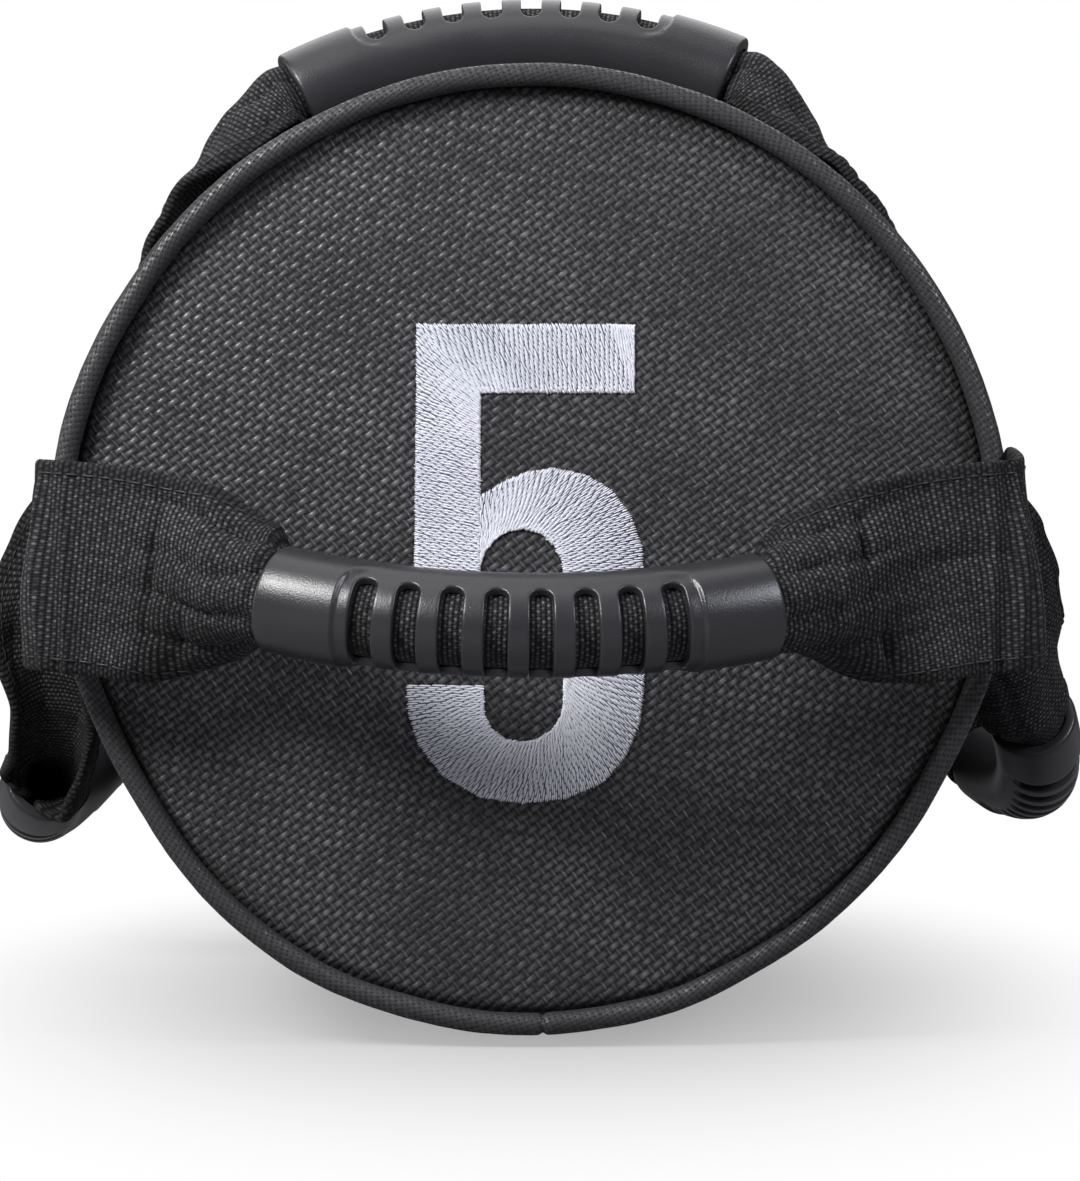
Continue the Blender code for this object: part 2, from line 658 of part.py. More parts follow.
def side_handle(name, mesh, side, out, drop, tilt, pitch):
    """Along one flank: sewn to it fore and aft, hanging outwards and down."""
    middle = side * SIDE_SEWN_ANGLE
    for end_name, end in (("front", -1), ("rear", 1)):
        edge = end * SIDE_FOLD_Y
        far = end * (SIDE_FOLD_Y + SIDE_SEWN_LENGTH)
        sewn_patch(
            f"{name}_sewn_{end_name}", sorted((edge, far)),
            (middle - WEBBING_HALF_ANGLE, middle + WEBBING_HALF_ANGLE))
    bow = Bow(
        (side * (BELLY_RADIUS + out), 0, AXIS_HEIGHT - drop),
        (0, cos(pitch), -sin(pitch)),
        (side * sin(tilt), 0, -cos(tilt)))
    folds = []
    for end in (-1, 1):
        lift = SEWN_SEAT + WEBBING_THICKNESS / 2
        fold = barrel_point(end * (SIDE_FOLD_Y - GAP), middle, lift)
        leaving = Vector((0, -end * WEBBING_WIDTH * SIDE_LEAVE_SHARE, 0))
        outward = Vector((side * WEBBING_WIDTH * SIDE_SWING_SHARE, 0, 0))
        folds.append((fold, leaving, leaving * 2 + outward, Vector((0, 0, 1))))
    pivot = barrel_point(0, middle, SEWN_SEAT + WEBBING_THICKNESS / 2)
    handle(name, mesh, bow, folds, pivot)


# Heights along the zip, from the barrel cloth at the zip's ends downwards
ZIP_CLOTH_RADIUS = barrel_radius(ZIP_HALF, 0.0)
TAPE_TOP_RADIUS = ZIP_CLOTH_RADIUS - CLOTH - ZIP_TAPE_DROP
TAPE_TOP = AXIS_HEIGHT + TAPE_TOP_RADIUS
TAPE_BOTTOM = TAPE_TOP - ZIP_TAPE_THICKNESS
TEETH_BOTTOM = TAPE_TOP + GAP
TEETH_TOP = TEETH_BOTTOM + TOOTH_HEIGHT
SLIDER_TOP = TEETH_TOP + GAP + SLIDER_PLATE
SLIDER_BOTTOM = TAPE_BOTTOM - GAP - SLIDER_PLATE
SLIDER_FRONT = -ZIP_HALF + STOP_LENGTH + GAP
SLIDER_REAR = SLIDER_FRONT + SLIDER_LENGTH
ARCH_FRONT = (SLIDER_FRONT + SLIDER_REAR - ARCH_LENGTH) / 2
BAR_Y = ARCH_FRONT + ARCH_THICKNESS + GAP + PULL_BAR / 2
BAR_SWING = hypot(PULL_BAR, PULL_THICKNESS) / 2  # the bar's corner as the pull turns
BAR_Z = SLIDER_TOP + GAP + BAR_SWING
ARCH_OPENING = 2 * (GAP + BAR_SWING)


def zip_tape(name, side):
    """A woven tape under the edge of the slit, curved with the cloth."""
    length = ZIP_HALF + ZIP_TAPE_OVERRUN
    first = ZIP_TAPE_PARTING / TAPE_TOP_RADIUS
    last = (ZIP_TAPE_PARTING + ZIP_TAPE_WIDTH) / TAPE_TOP_RADIUS
    profile = []
    for radius, order in ((TAPE_TOP_RADIUS, 1), (TAPE_TOP_RADIUS - ZIP_TAPE_THICKNESS, -1)):
        angles = [first + (last - first) * i / TAPE_STEPS for i in range(TAPE_STEPS + 1)]
        for angle in angles[::order]:
            profile.append((side * radius * sin(angle), AXIS_HEIGHT + radius * cos(angle)))
    rings = [[(x, y, z) for x, z in profile] for y in (-length, length)]
    add_object(name, loft(name, rings), material("zip_tape", (0.018, 0.018, 0.020), 0.8))


def zip_teeth(name, side):
    """A cord along the tape's edge with teeth that reach past the centre line."""
    start = SLIDER_FRONT + SLIDER_DIVIDER_LENGTH + GAP
    end = ZIP_HALF - STOP_LENGTH - GAP
    count = int((end - start) / TOOTH_PITCH)
    outline = [(TOOTH_CORD_OUTER, start)]
    for i in range(count):
        middle = start + (i + TOOTH_PHASE_SHARES[side]) * TOOTH_PITCH
        low, high = middle - TOOTH_LENGTH / 2, middle + TOOTH_LENGTH / 2
        outline += [(TOOTH_CORD_INNER, low), (-TOOTH_REACH, low)]
        outline += [(-TOOTH_REACH, high), (TOOTH_CORD_INNER, high)]
    outline.append((TOOTH_CORD_OUTER, start + count * TOOTH_PITCH))
    rings = [[(side * x, y, z) for x, y in outline] for z in (TEETH_BOTTOM, TEETH_TOP)]
    add_object(name, loft(name, rings), material("zip_nylon", (0.03, 0.03, 0.033), 0.4))


def zip_stop(name, end):
    """The clamp that closes one end of the zip."""
    low, high = sorted((end * (ZIP_HALF - STOP_LENGTH), end * ZIP_HALF))
    mesh = box(name, (-TOOTH_CORD_OUTER, low, TEETH_BOTTOM), (TOOTH_CORD_OUTER, high, TEETH_TOP))
    add_object(name, mesh, zip_metal())


def slider_plate(name, low, high):
    """Wide where the teeth come in, narrow where they leave joined."""
    wide = SLIDER_HALF_WIDTH
    narrow = TOOTH_CORD_OUTER + GAP + SLIDER_PLATE / 2
    waist = SLIDER_FRONT + SLIDER_LENGTH / 2
    outline = [(-wide, SLIDER_FRONT), (wide, SLIDER_FRONT), (wide, waist)]
    outline += [(narrow, SLIDER_REAR), (-narrow, SLIDER_REAR), (-wide, waist)]
    return loft(name, [[(x, y, z) for x, y in outline] for z in (low, high)])


def zip_slider():
    """Top and bottom plates joined by the divider, side flanges, and the pull's arch."""
    top = slider_plate("zip_slider", SLIDER_TOP - SLIDER_PLATE, SLIDER_TOP)
    made = add_object("zip_slider", top, zip_metal())
    bottom = slider_plate("slider_bottom", SLIDER_BOTTOM, SLIDER_BOTTOM + SLIDER_PLATE)
    parts = [add_cutter("slider_bottom", bottom)]
    sink = SLIDER_PLATE / 2
    divider = box(
        "slider_divider",
        (-SLIDER_DIVIDER_HALF, SLIDER_FRONT + GAP, SLIDER_BOTTOM + sink),
        (SLIDER_DIVIDER_HALF, SLIDER_FRONT + SLIDER_DIVIDER_LENGTH, SLIDER_TOP - sink))
    parts.append(add_cutter("slider_divider", divider))
    for side in (-1, 1):
        near = side * (TOOTH_CORD_OUTER + GAP)
        far = side * (TOOTH_CORD_OUTER + GAP + SLIDER_PLATE)
        low_x, high_x = sorted((near, far))
        flange = box(
            f"slider_flange_{side}",
            (low_x, SLIDER_FRONT + GAP, TAPE_TOP + GAP),
            (high_x, SLIDER_FRONT + SLIDER_LENGTH / 2, SLIDER_TOP - sink))
        parts.append(add_cutter(f"slider_flange_{side}", flange))
    arch = box(
        "slider_arch",
        (-ARCH_HALF_WIDTH, ARCH_FRONT, SLIDER_TOP - sink),
        (ARCH_HALF_WIDTH, ARCH_FRONT + ARCH_LENGTH, SLIDER_TOP + ARCH_OPENING + ARCH_THICKNESS))
    parts.append(add_cutter("slider_arch", arch))
    for part in parts:
        combine(made, part, "UNION")
    window = box(
        "arch_window",
        (-ARCH_HALF_WIDTH - GAP, ARCH_FRONT + ARCH_THICKNESS, SLIDER_TOP),
        (ARCH_HALF_WIDTH + GAP, ARCH_FRONT + ARCH_LENGTH - ARCH_THICKNESS, SLIDER_TOP + ARCH_OPENING))
    combine(made, add_cutter("arch_window", window), "DIFFERENCE")
    return made


def zip_pull():
    """A tab with a window; the bar at its end runs under the slider's arch."""
    near = BAR_Y - PULL_BAR / 2
    window_end = near + PULL_BAR + PULL_WINDOW_LENGTH
    window_start = near + PULL_BAR
    tip = near + PULL_LENGTH
    wide = PULL_HALF_WIDTH
    inside = PULL_WINDOW_HALF
    shoulder = window_end + PULL_BAR
    corner = window_end + PULL_BAR / 2
    outer = [(-wide, near), (wide, near), (wide, shoulder)]
    outer += [(wide / 2, tip), (-wide / 2, tip), (-wide, shoulder)]
    inner = [(-inside, window_start), (inside, window_start), (inside, window_end)]
    inner += [(inside / 2, corner), (-inside / 2, corner), (-inside, window_end)]
    low, high = BAR_Z - PULL_THICKNESS / 2, BAR_Z + PULL_THICKNESS / 2
    rings = []
    for (ox, oy), (ix, iy) in zip(outer, inner):
        rings.append([(ox, oy, low), (ix, iy, low), (ix, iy, high), (ox, oy, high)])
    return add_object("zip_pull", loft("zip_pull", rings, closed=True), zip_metal())


def zip_fastener():
    for side_name, side in (("left", -1), ("right", 1)):
        zip_tape(f"zip_tape_{side_name}", side)
        zip_teeth(f"zip_teeth_{side_name}", side)
    zip_stop("zip_front_stop", -1)
    zip_stop("zip_rear_stop", 1)
    slider = zip_slider()
    pull = zip_pull()
    hang_on(hinge_empty("zip_pull_pivot", (0, BAR_Y, BAR_Z)), (slider, pull))


def filler_padding():
    """The sleeve of filling between barrel and sand, hollowed under the zip."""
    stations = [y for y in barrel_stations() if abs(y) < PADDING_END_Y - GAP]
    stations = [-PADDING_END_Y, *stations, PADDING_END_Y]
    bore = POUCH_RADIUS + GAP

    def inside(angle):
        point = Vector((bore * sin(angle), 0, AXIS_HEIGHT + bore * cos(angle)))
        return [point + Vector((0, y, 0)) for y in (PADDING_END_Y, -PADDING_END_Y)]

    mesh = barrel_sleeve("filler_padding", stations, -CLOTH - FILLING_SLACK, inside)
    finish = material("textile_filling", (0.35, 0.33, 0.31), 0.95)
    made = add_object("filler_padding", mesh, finish)
    reach = ZIP_HALF + ZIP_TAPE_OVERRUN + GAP
    groove = box(
        "padding_groove",
        (-PADDING_GROOVE_HALF, -reach, SLIDER_BOTTOM - PADDING_GROOVE_DEPTH),
        (PADDING_GROOVE_HALF, reach, AXIS_HEIGHT + BELLY_RADIUS))
    combine(made, add_cutter("padding_groove", groove), "DIFFERENCE")


def end_pad(name, facing):
    radius = SEAM_RADIUS - CLOTH - 2 * GAP
    stations = (PAD_FACE_Y, PAD_FACE_Y - END_PAD_THICKNESS)
    rings = [circle_ring(facing * y, radius, BARREL_SIDES) for y in stations]
    add_object(name, loft(name, rings), material("foam_pad", (0.30, 0.30, 0.32), 0.95))


def pouch_profile(radius, neck, front, rear, mouth):
    """(y, radius) stations from the closed front to the mouth of the neck."""
    shoulder = radius * POUCH_SHOULDER_SHARE
    return (
        (front, radius - shoulder), (front + shoulder / 2, radius),
        (rear - shoulder, radius), (rear, neck), (mouth, neck))


def sand_pouch():
    """The inner bag: closed in front, with an open neck at the rear."""
    front = -PADDING_END_Y + GAP
    mouth = PADDING_END_Y - GAP
    rear = mouth - POUCH_NECK_LENGTH
    outside = pouch_profile(POUCH_RADIUS, POUCH_NECK_RADIUS, front, rear, mouth)
    wall = POUCH_WALL
    inside = pouch_profile(
        POUCH_RADIUS - wall, POUCH_NECK_RADIUS - wall, front + wall, rear - wall, mouth)
    rings = [circle_ring(y, radius, POUCH_SIDES) for y, radius in outside]
    rings += [circle_ring(y, radius, POUCH_SIDES) for y, radius in reversed(inside)]
    finish = material("pouch_cloth", (0.10, 0.10, 0.11), 0.8)
    add_object("sand_pouch", loft("sand_pouch", rings), finish)

    inset = wall + GAP
    sand = pouch_profile(
        POUCH_RADIUS - inset, POUCH_NECK_RADIUS - inset, front + inset, rear - inset, mouth)
    rings = [circle_ring(y, radius, POUCH_SIDES) for y, radius in sand[:-1]]
    finish = material("dry_sand", (0.55, 0.42, 0.26), 0.95)
    add_object("sand_fill", loft("sand_fill", rings), finish)

    rings = []
    middle = rear + POUCH_NECK_LENGTH / 2
    for i in range(CLOSURE_SIDES):
        turn = tau * (i + 0.5) / CLOSURE_SIDES
        radius = POUCH_NECK_RADIUS + GAP + POUCH_CLOSURE_RADIUS * (1 + cos(turn))
        rings.append(circle_ring(middle + POUCH_CLOSURE_RADIUS * sin(turn), radius, POUCH_SIDES))
    finish = material("closure_band", (0.02, 0.02, 0.02), 0.7)
    add_object("pouch_closure", loft("pouch_closure", rings, closed=True), finish)


def build():
    clear_scene()
    barrel_panel()
    for end_name, facing in (("front", -1), ("rear", 1)):
        end_panel(f"{end_name}_end_panel", facing)
        piping(f"{end_name}_piping", facing)
        end_pad(f"{end_name}_end_pad", facing)
    filler_padding()
    sand_pouch()
    zip_fastener()
    mesh = grip_mesh()
    end_handle("front_end", mesh, -1, END_FRONT_SLIP, END_FRONT_ROLL)
    end_handle("rear_end", mesh, 1, 0.0, 0.0)
    top_handle("front_top", mesh, -1, TOP_FRONT_LEAN, TOP_FRONT_TILT)
    top_handle("rear_top", mesh, 1, 0.0, 0.0)
    side_handle("left_side", mesh, -1, SIDE_GRIP_OUT, SIDE_GRIP_DROP, SIDE_GRIP_TILT, 0.0)
    side_handle(
        "right_side", mesh, 1, RIGHT_GRIP_OUT, RIGHT_GRIP_DROP, RIGHT_GRIP_TILT, RIGHT_GRIP_PITCH)


build()
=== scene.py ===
"""Sandbag trainer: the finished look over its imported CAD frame.

Metres, in the frame of the CAD model: the bag lies along Y on the plane Z = 0 and its
numbered end faces -Y.
"""

from math import acos, asin, atan2, cos, degrees, exp, hypot, pi, radians, sin, sqrt, tau

import bmesh
import bpy
import numpy as np
from mathutils import Matrix, Vector, noise


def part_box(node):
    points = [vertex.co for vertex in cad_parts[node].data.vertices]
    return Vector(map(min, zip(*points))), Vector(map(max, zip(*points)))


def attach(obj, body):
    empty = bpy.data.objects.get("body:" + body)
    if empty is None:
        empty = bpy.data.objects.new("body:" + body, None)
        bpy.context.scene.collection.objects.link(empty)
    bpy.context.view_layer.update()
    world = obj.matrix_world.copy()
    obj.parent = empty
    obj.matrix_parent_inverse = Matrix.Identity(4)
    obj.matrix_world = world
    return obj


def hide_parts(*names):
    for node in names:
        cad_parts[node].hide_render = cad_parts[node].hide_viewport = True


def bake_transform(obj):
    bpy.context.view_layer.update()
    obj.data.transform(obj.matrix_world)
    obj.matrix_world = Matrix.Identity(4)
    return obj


SIDES = (("left", -1), ("right", 1))
ENDS = (("front", -1), ("rear", 1))

# Bag
HALF_LENGTH = 0.250
SEAM_RADIUS = 0.113
BELLY = 0.006
UNDERSIDE_SAG = 0.0047
AXIS_HEIGHT = 0.121
CLOTH = 0.0012
PANEL_DOME = 0.004
PANEL_RIM = SEAM_RADIUS - CLOTH - 0.0003  # the end panels' faces reach this far out
SEAM_REACH = 0.030  # over this length of barrel the wander of its end seams dies out
PIPING_RADIUS = 0.00275
PIPING_CENTRE_RADIUS = SEAM_RADIUS - CLOTH / 3
PIPING_CENTRE_Y = HALF_LENGTH + 0.0003 + PIPING_RADIUS
SEAM_WANDER = (
    (-117, 16, -0.0019), (117, 14, -0.0012), (-150, 16, 0.0012), (-78, 14, 0.0010),
    (180, 30, 0.0027))
BARREL_SEAM_X = 0.0026  # the lengthwise seam lies this far right of the lowest line

# Webbing
WEBBING = 0.050
THICK = 0.0026
SEWN_SEAT = 0.0004
END_FOLD_Y = 0.2323
END_SEWN_LENGTH = 0.060
SIDE_FOLD_Y = 0.1150
SIDE_SEWN_LENGTH = 0.050
TOP_SEWN_LENGTH = 0.031
SEWN_SPACING = 0.0073  # bare cloth between the sewn ends of a top and a side handle
SIDE_SEWN_RISE = 0.009  # sewn webbing above the bag's axis
END_SEWN_RISE = -0.005
BELLY_RADIUS = SEAM_RADIUS + BELLY
SIDE_ANGLE = acos(SIDE_SEWN_RISE / BELLY_RADIUS)
END_ANGLE = acos(END_SEWN_RISE / BELLY_RADIUS)
HALF_TURN = WEBBING / 2 / BELLY_RADIUS
TOP_LEAN = radians(-2.2)
TOP_LOW = SIDE_ANGLE - HALF_TURN - abs(TOP_LEAN) - SEWN_SPACING / BELLY_RADIUS / 2
TOP_HIGH = TOP_LOW - TOP_SEWN_LENGTH / BELLY_RADIUS
TOP_Y = 0.165
ROLL = 0.0081  # radius of the rolled webbing's middle layer inside a grip
END_SLIP = 0.0029  # the front end grip has slid this far left along its webbing
END_ROLL = radians(0.85)  # and its right tip hangs lower
TOP_TILT = radians(17)  # the front top grip has rolled back
MOUTH_CURL = 0.0118  # radius that the webbing gathers to just outside a grip
ROLL_SHARE = 0.96  # how much of a full turn the rolled webbing closes

# Moulded grips
CURVE = 0.126
COLLAR = 0.0126
SLOTTED = 0.0117
BORE = 0.0098
GRIP_HALF = asin(0.062 / (CURVE + COLLAR))
GRIP_REACH = GRIP_HALF * (CURVE + SLOTTED)  # half the grip's length along its slotted face
SLOT_PITCH = 0.01065
SLOT_COUNT = 8
SLOT_RADIUS = 0.0028
SLOT_STRAIGHT = 0.0125  # half the straight part, measured round the grip
SLOT_LIP = 0.0005
RECESS_HALF = 0.0436
RECESS_ROUND = 0.01755  # half the recess, measured round the grip
RECESS_CORNER = 0.0065
RECESS_STEP = 0.0010
RECESS_TAPER = 0.0050  # along its two long sides the recess fades out over this much
END_ROUND = 0.0012

# Zip
SLIT_HALF = 0.130
SLIT_HALF_WIDTH = 0.007

# Wrinkles of the barrel's cloth
HELD_BY_WEBBING = 0.016  # from a sewn end outwards the cloth comes free over this much
GRIP_BED = (0.016, 0.070, 0.014)  # held under a top grip: half length, half width, way to free
ZIP_BED = (SLIT_HALF, 0.016, 0.020)  # the same along the zip
SLACK_RISE = 0.0016
CREASE_RISE = 0.0007
PUCKER_RISE = 0.0007
PUCKERS = 52
PUCKER_REACH = 0.016
GROOVE = 0.0009  # depth and half width of the lengthwise seam
LAP_RISE = 0.0005
LAP_MIDDLE = 0.004
LAP_WIDTH = 0.0035

# Threads
SEAM_STITCH = 0.0032
SEAM_STITCH_GAP = 0.0008
THREAD_RADIUS = 0.00032


# Colours and nodes


def linear(code):
    """An sRGB hex colour as linear red, green, blue and alpha."""
    parts = [int(code[i:i + 2], 16) / 255 for i in (1, 3, 5)]
    return (*[p / 12.92 if p <= 0.04045 else ((p + 0.055) / 1.055) ** 2.4 for p in parts], 1.0)


def add(tree, kind, values=None, **settings):
    """Adds a node. values holds its inputs by name or number; a node or socket is linked."""
    node = tree.nodes.new(kind)
    for key, value in settings.items():
        setattr(node, key, value)
    for key, value in (values or {}).items():
        if isinstance(value, bpy.types.Node):
            value = value.outputs[0]
        if isinstance(value, bpy.types.NodeSocket):
            tree.links.new(value, node.inputs[key])
        else:
            node.inputs[key].default_value = value
    return node


def finish_material(name, **sockets):
    """A Principled material; plain values stay on the shader's own sockets."""
    made = bpy.data.materials.new(name)
    made.use_nodes = True
    tree = made.node_tree
    shader = tree.nodes["Principled BSDF"]
    for key, value in sockets.items():
        shader.inputs[key.replace("_", " ")].default_value = value
    return made, tree, shader


def shaken(tree, place, amount, scale):
    """The place, moved a little by noise so that no yarn runs dead straight."""
    drift = add(tree, "ShaderNodeTexNoise", {"Vector": place, "Scale": scale, "Detail": 3.0})
    centred = add(
        tree, "ShaderNodeVectorMath", {0: drift.outputs["Color"], 1: (0.5, 0.5, 0.5)},
        operation="SUBTRACT")
    moved = add(
        tree, "ShaderNodeVectorMath", {0: centred, 1: (amount, amount, amount), 2: place},
        operation="MULTIPLY_ADD")
    return moved


def yarn_tops(tree, place, pitches, turn, widths, rise):
    """Heights of a plain weave's two sets of yarns: 0 between the yarns, 1 + rise on a float.

    The first set runs in the direction turn; pitches and widths are (along it, across it).
    """
    laid = add(tree, "ShaderNodeMapping", {
        "Vector": place, "Rotation": (0, 0, turn), "Scale": (pitches[0] / pi, pitches[1] / pi, 1)},
        vector_type="TEXTURE")
    split = add(tree, "ShaderNodeSeparateXYZ", {0: laid})
    waves = [add(tree, "ShaderNodeMath", {0: split.outputs[i]}, operation="SINE") for i in (0, 1)]
    tops = []
    for own, other, width, way in (
            (waves[1], waves[0], widths[1], rise), (waves[0], waves[1], widths[0], -rise)):
        side = add(tree, "ShaderNodeMath", {0: own}, operation="SIGN")
        over = add(tree, "ShaderNodeMath", {0: side, 1: other}, operation="MULTIPLY")
        crown = add(tree, "ShaderNodeMath", {0: over, 1: way, 2: 1.0}, operation="MULTIPLY_ADD")
        size = add(tree, "ShaderNodeMath", {0: own}, operation="ABSOLUTE")
        inside = add(tree, "ShaderNodeMapRange", {"Value": size, "From Min": cos(pi * width / 2)})
        round_top = add(tree, "ShaderNodeMath", {0: inside, 1: 0.5}, operation="POWER")
        tops.append(add(tree, "ShaderNodeMath", {0: round_top, 1: crown}, operation="MULTIPLY"))
    return tops


def dress(tree, shader, colour, roughness, bump):
    """Links a finish's colour, roughness and relief to its shader."""
    tree.links.new(colour.outputs[2], shader.inputs["Base Color"])
    tree.links.new(roughness.outputs[0], shader.inputs["Roughness"])
    tree.links.new(bump.outputs[0], shader.inputs["Normal"])


def woven_cloth(
        name, pitches, turn, widths, rise, gap, first, second, pale, rough, bump_mm,
        wear_and_glint=0.25, second_wear_and_glint=0.5, selvedge=0.0, gloss=0.5):
    """Cloth whose weave, shade and sheen all follow its own UV map, which is in metres.

    gap colours the holes between the yarns as painted shade, darker the deeper they lie; first and
    second colour the two sets of yarns; pale is painted onto the floats' crowns, partly as wear and
    partly as painted glints. selvedge is the width of the ribbed band along both edges of a strap of
    webbing.
    """
    made, tree, shader = finish_material(name, IOR=1.5, Specular_IOR_Level=gloss)
    place = add(tree, "ShaderNodeTexCoord").outputs["UV"]
    moved = shaken(tree, place, max(pitches) * 0.5, 110.0)
    one, other = yarn_tops(tree, moved, pitches, turn, widths, rise)
    patches, floats, grain = [
        add(tree, "ShaderNodeTexNoise", {
            "Vector": place, "Scale": scale, "Detail": detail}).outputs["Fac"]
        for scale, detail in ((24.0, 4.0), (0.8 / max(pitches), 1.0), (1500.0, 2.0))]
    if selvedge:
        half = WEBBING / 2
        edge = half - selvedge
        across = add(tree, "ShaderNodeSeparateXYZ", {0: place})
        folded = add(tree, "ShaderNodeMath", {0: across, 1: half, 2: -half}, operation="WRAP")
        from_middle = add(tree, "ShaderNodeMath", {0: folded}, operation="ABSOLUTE")
        band = add(tree, "ShaderNodeMapRange", {
            "Value": from_middle, "From Min": edge - 0.0002, "From Max": edge + 0.0002,
            "To Min": 1.0, "To Max": 0.15})
        other = add(tree, "ShaderNodeMath", {0: other, 1: band}, operation="MULTIPLY")
    height = add(tree, "ShaderNodeMath", {0: one, 1: other}, operation="MAXIMUM")
    is_first = add(tree, "ShaderNodeMath", {0: one, 1: other}, operation="GREATER_THAN")
    yarn = add(tree, "ShaderNodeMix", {
        "Factor": is_first, 6: linear(second), 7: linear(first)}, data_type="RGBA")
    # Painted shade: the holes between the yarns take the gap colour, darker the deeper they lie.
    top = add(tree, "ShaderNodeMapRange", {
        "Value": height, "From Min": 0.25, "From Max": 1.0 + rise * 0.8})
    clear_of_hole_shade = add(tree, "ShaderNodeMath", {0: top, 1: 0.4}, operation="POWER")
    shade = add(tree, "ShaderNodeMix", {
        "Factor": clear_of_hole_shade, 6: linear(gap), 7: yarn.outputs[2]}, data_type="RGBA")
    # Painted glints and wear: in noisy patches the floats' crowns turn pale, on the second yarns less.
    uneven = add(tree, "ShaderNodeMath", {0: patches, 1: floats}, operation="MULTIPLY")
    wear_and_glint_patches = add(tree, "ShaderNodeMapRange", {
        "Value": uneven, "From Min": 0.14, "From Max": 0.42, "To Max": wear_and_glint})
    crown = add(tree, "ShaderNodeMath", {0: top, 1: 2.5}, operation="POWER")
    wear_and_glint_on_crowns = add(tree, "ShaderNodeMath", {0: crown, 1: wear_and_glint_patches}, operation="MULTIPLY")
    kind = add(tree, "ShaderNodeMapRange", {"Value": is_first, "To Min": second_wear_and_glint, "To Max": 1.0})
    share = add(tree, "ShaderNodeMath", {0: wear_and_glint_on_crowns, 1: kind}, operation="MULTIPLY")
    if selvedge:
        share = add(tree, "ShaderNodeMath", {0: share, 1: band}, operation="MULTIPLY")
    colour = add(tree, "ShaderNodeMix", {
        "Factor": share, 6: shade.outputs[2], 7: linear(pale)}, data_type="RGBA")
    # The holes between the yarns are matt; the crowns are as smooth as the cloth gets, each in its
    # own measure.
    matt = add(tree, "ShaderNodeMapRange", {"Value": top, "To Min": 0.9, "To Max": rough})
    own_gloss = add(tree, "ShaderNodeMapRange", {
        "Value": floats, "From Min": 0.35, "From Max": 0.65, "To Min": 0.20, "To Max": -0.11})
    crowns = add(tree, "ShaderNodeMath", {0: matt, 1: own_gloss}, operation="ADD")
    roughness = add(
        tree, "ShaderNodeMath", {0: grain, 1: 0.16, 2: crowns}, operation="MULTIPLY_ADD")
    fibres = add(tree, "ShaderNodeMath", {0: grain, 1: 0.10, 2: height}, operation="MULTIPLY_ADD")
    bump = add(tree, "ShaderNodeBump", {
        "Height": fibres, "Strength": 1.0, "Distance": bump_mm / 1000})
    dress(tree, shader, colour, roughness, bump)
    return made


def speckled(name, base, other, rough, scale, bump_mm, **sockets):
    """A moulded, cast or fibrous surface: two tints and a fine relief on object coordinates."""
    made, tree, shader = finish_material(name, **sockets)
    place = add(tree, "ShaderNodeTexCoord").outputs["Object"]
    grain, patches = [
        add(tree, "ShaderNodeTexNoise", {
            "Vector": place, "Scale": size, "Detail": 3.0}).outputs["Fac"]
        for size in (scale, 40.0)]
    colour = add(tree, "ShaderNodeMix", {
        "Factor": patches, 6: linear(base), 7: linear(other)}, data_type="RGBA")
    roughness = add(tree, "ShaderNodeMapRange", {
        "Value": patches, "To Min": rough - 0.08, "To Max": rough + 0.08})
    bump = add(tree, "ShaderNodeBump", {
        "Height": grain, "Strength": 0.6, "Distance": bump_mm / 1000})
    dress(tree, shader, colour, roughness, bump)
    return made


# PVC-coated polyester: plain weave of flat yarns 1.88 mm apart, the filling yarns twice as broad
# as the warp, under a skin that fills the holes and glints on the floats; the holes carry painted
# shade and the floats' crowns pale wear and painted glints.
COATED = woven_cloth(
    "pvc_coated_polyester", (0.00188, 0.00188), radians(36), (0.42, 0.84), 0.42, "#151517",
    "#1f1f21", "#1a1a1c", "#a4a4aa", 0.27, 0.26, 0.34, 0.75, gloss=0.6)
# The same skin on the bias strip round the piping cord, finer, with painted shade in its holes
# and wear and painted glints along the crown.
PIPING_CLOTH = woven_cloth(
    "bias_cut_piping_cloth", (0.0011, 0.0014), radians(20), (0.74, 0.90), 0.3, "#141416",
    "#1f1f21", "#1c1c1e", "#8a8a8f", 0.32, 0.09, 0.16, 0.8, gloss=0.6)
# Woven polyester webbing: ribs 1.25 mm apart across the strap, bound down every 0.74 mm, dull,
# with painted shade in the holes, pale crowns that are partly worn fibres and partly painted
# highlights, and a plain ribbed selvedge.
WEBBING_CLOTH = woven_cloth(
    "polyester_webbing", (0.00074, 0.00125), 0.0, (0.5, 0.80), 0.45, "#050506",
    "#222224", "#161618", "#929296", 0.60, 0.27, 0.50, 0.3, selvedge=0.0036, gloss=0.32)
# Moulded thermoplastic rubber with a fine spark-eroded grain: satin, never wet-looking.
GRIP_RUBBER = speckled(
    "moulded_grip_rubber", "#242427", "#2d2d31", 0.34, 2600.0, 0.11, IOR=1.55)
# Spun polyester thread, bonded black.
BLACK_THREAD = speckled("black_bonded_thread", "#161618", "#242427", 0.5, 3000.0, 0.05, IOR=1.5)
# Trilobal polyester embroidery thread: smooth filaments that catch light along their length.
PALE_THREAD = speckled(
    "pale_embroidery_thread", "#c2c4d3", "#f0f1f6", 0.38, 1200.0, 0.03, IOR=1.5, Sheen_Weight=0.25)
# The felt that carries the stitches shows as a dark dot where a needle went in; it is tinted
# darker than the thread as painted shade in the gaps between the stitches.
UNDERLAY_PAINTED_SHADE = speckled("embroidery_underlay_painted_shade", "#4e505e", "#5e6070", 0.9, 1500.0, 0.05, IOR=1.45)
# Blackened die-cast zinc.
ZIP_METAL = speckled("blackened_zinc", "#3a3a3d", "#4a4a4e", 0.36, 900.0, 0.02, Metallic=0.9)
# Nylon monofilament coil.
ZIP_NYLON = speckled("nylon_coil", "#161617", "#222224", 0.34, 2000.0, 0.02, IOR=1.53)
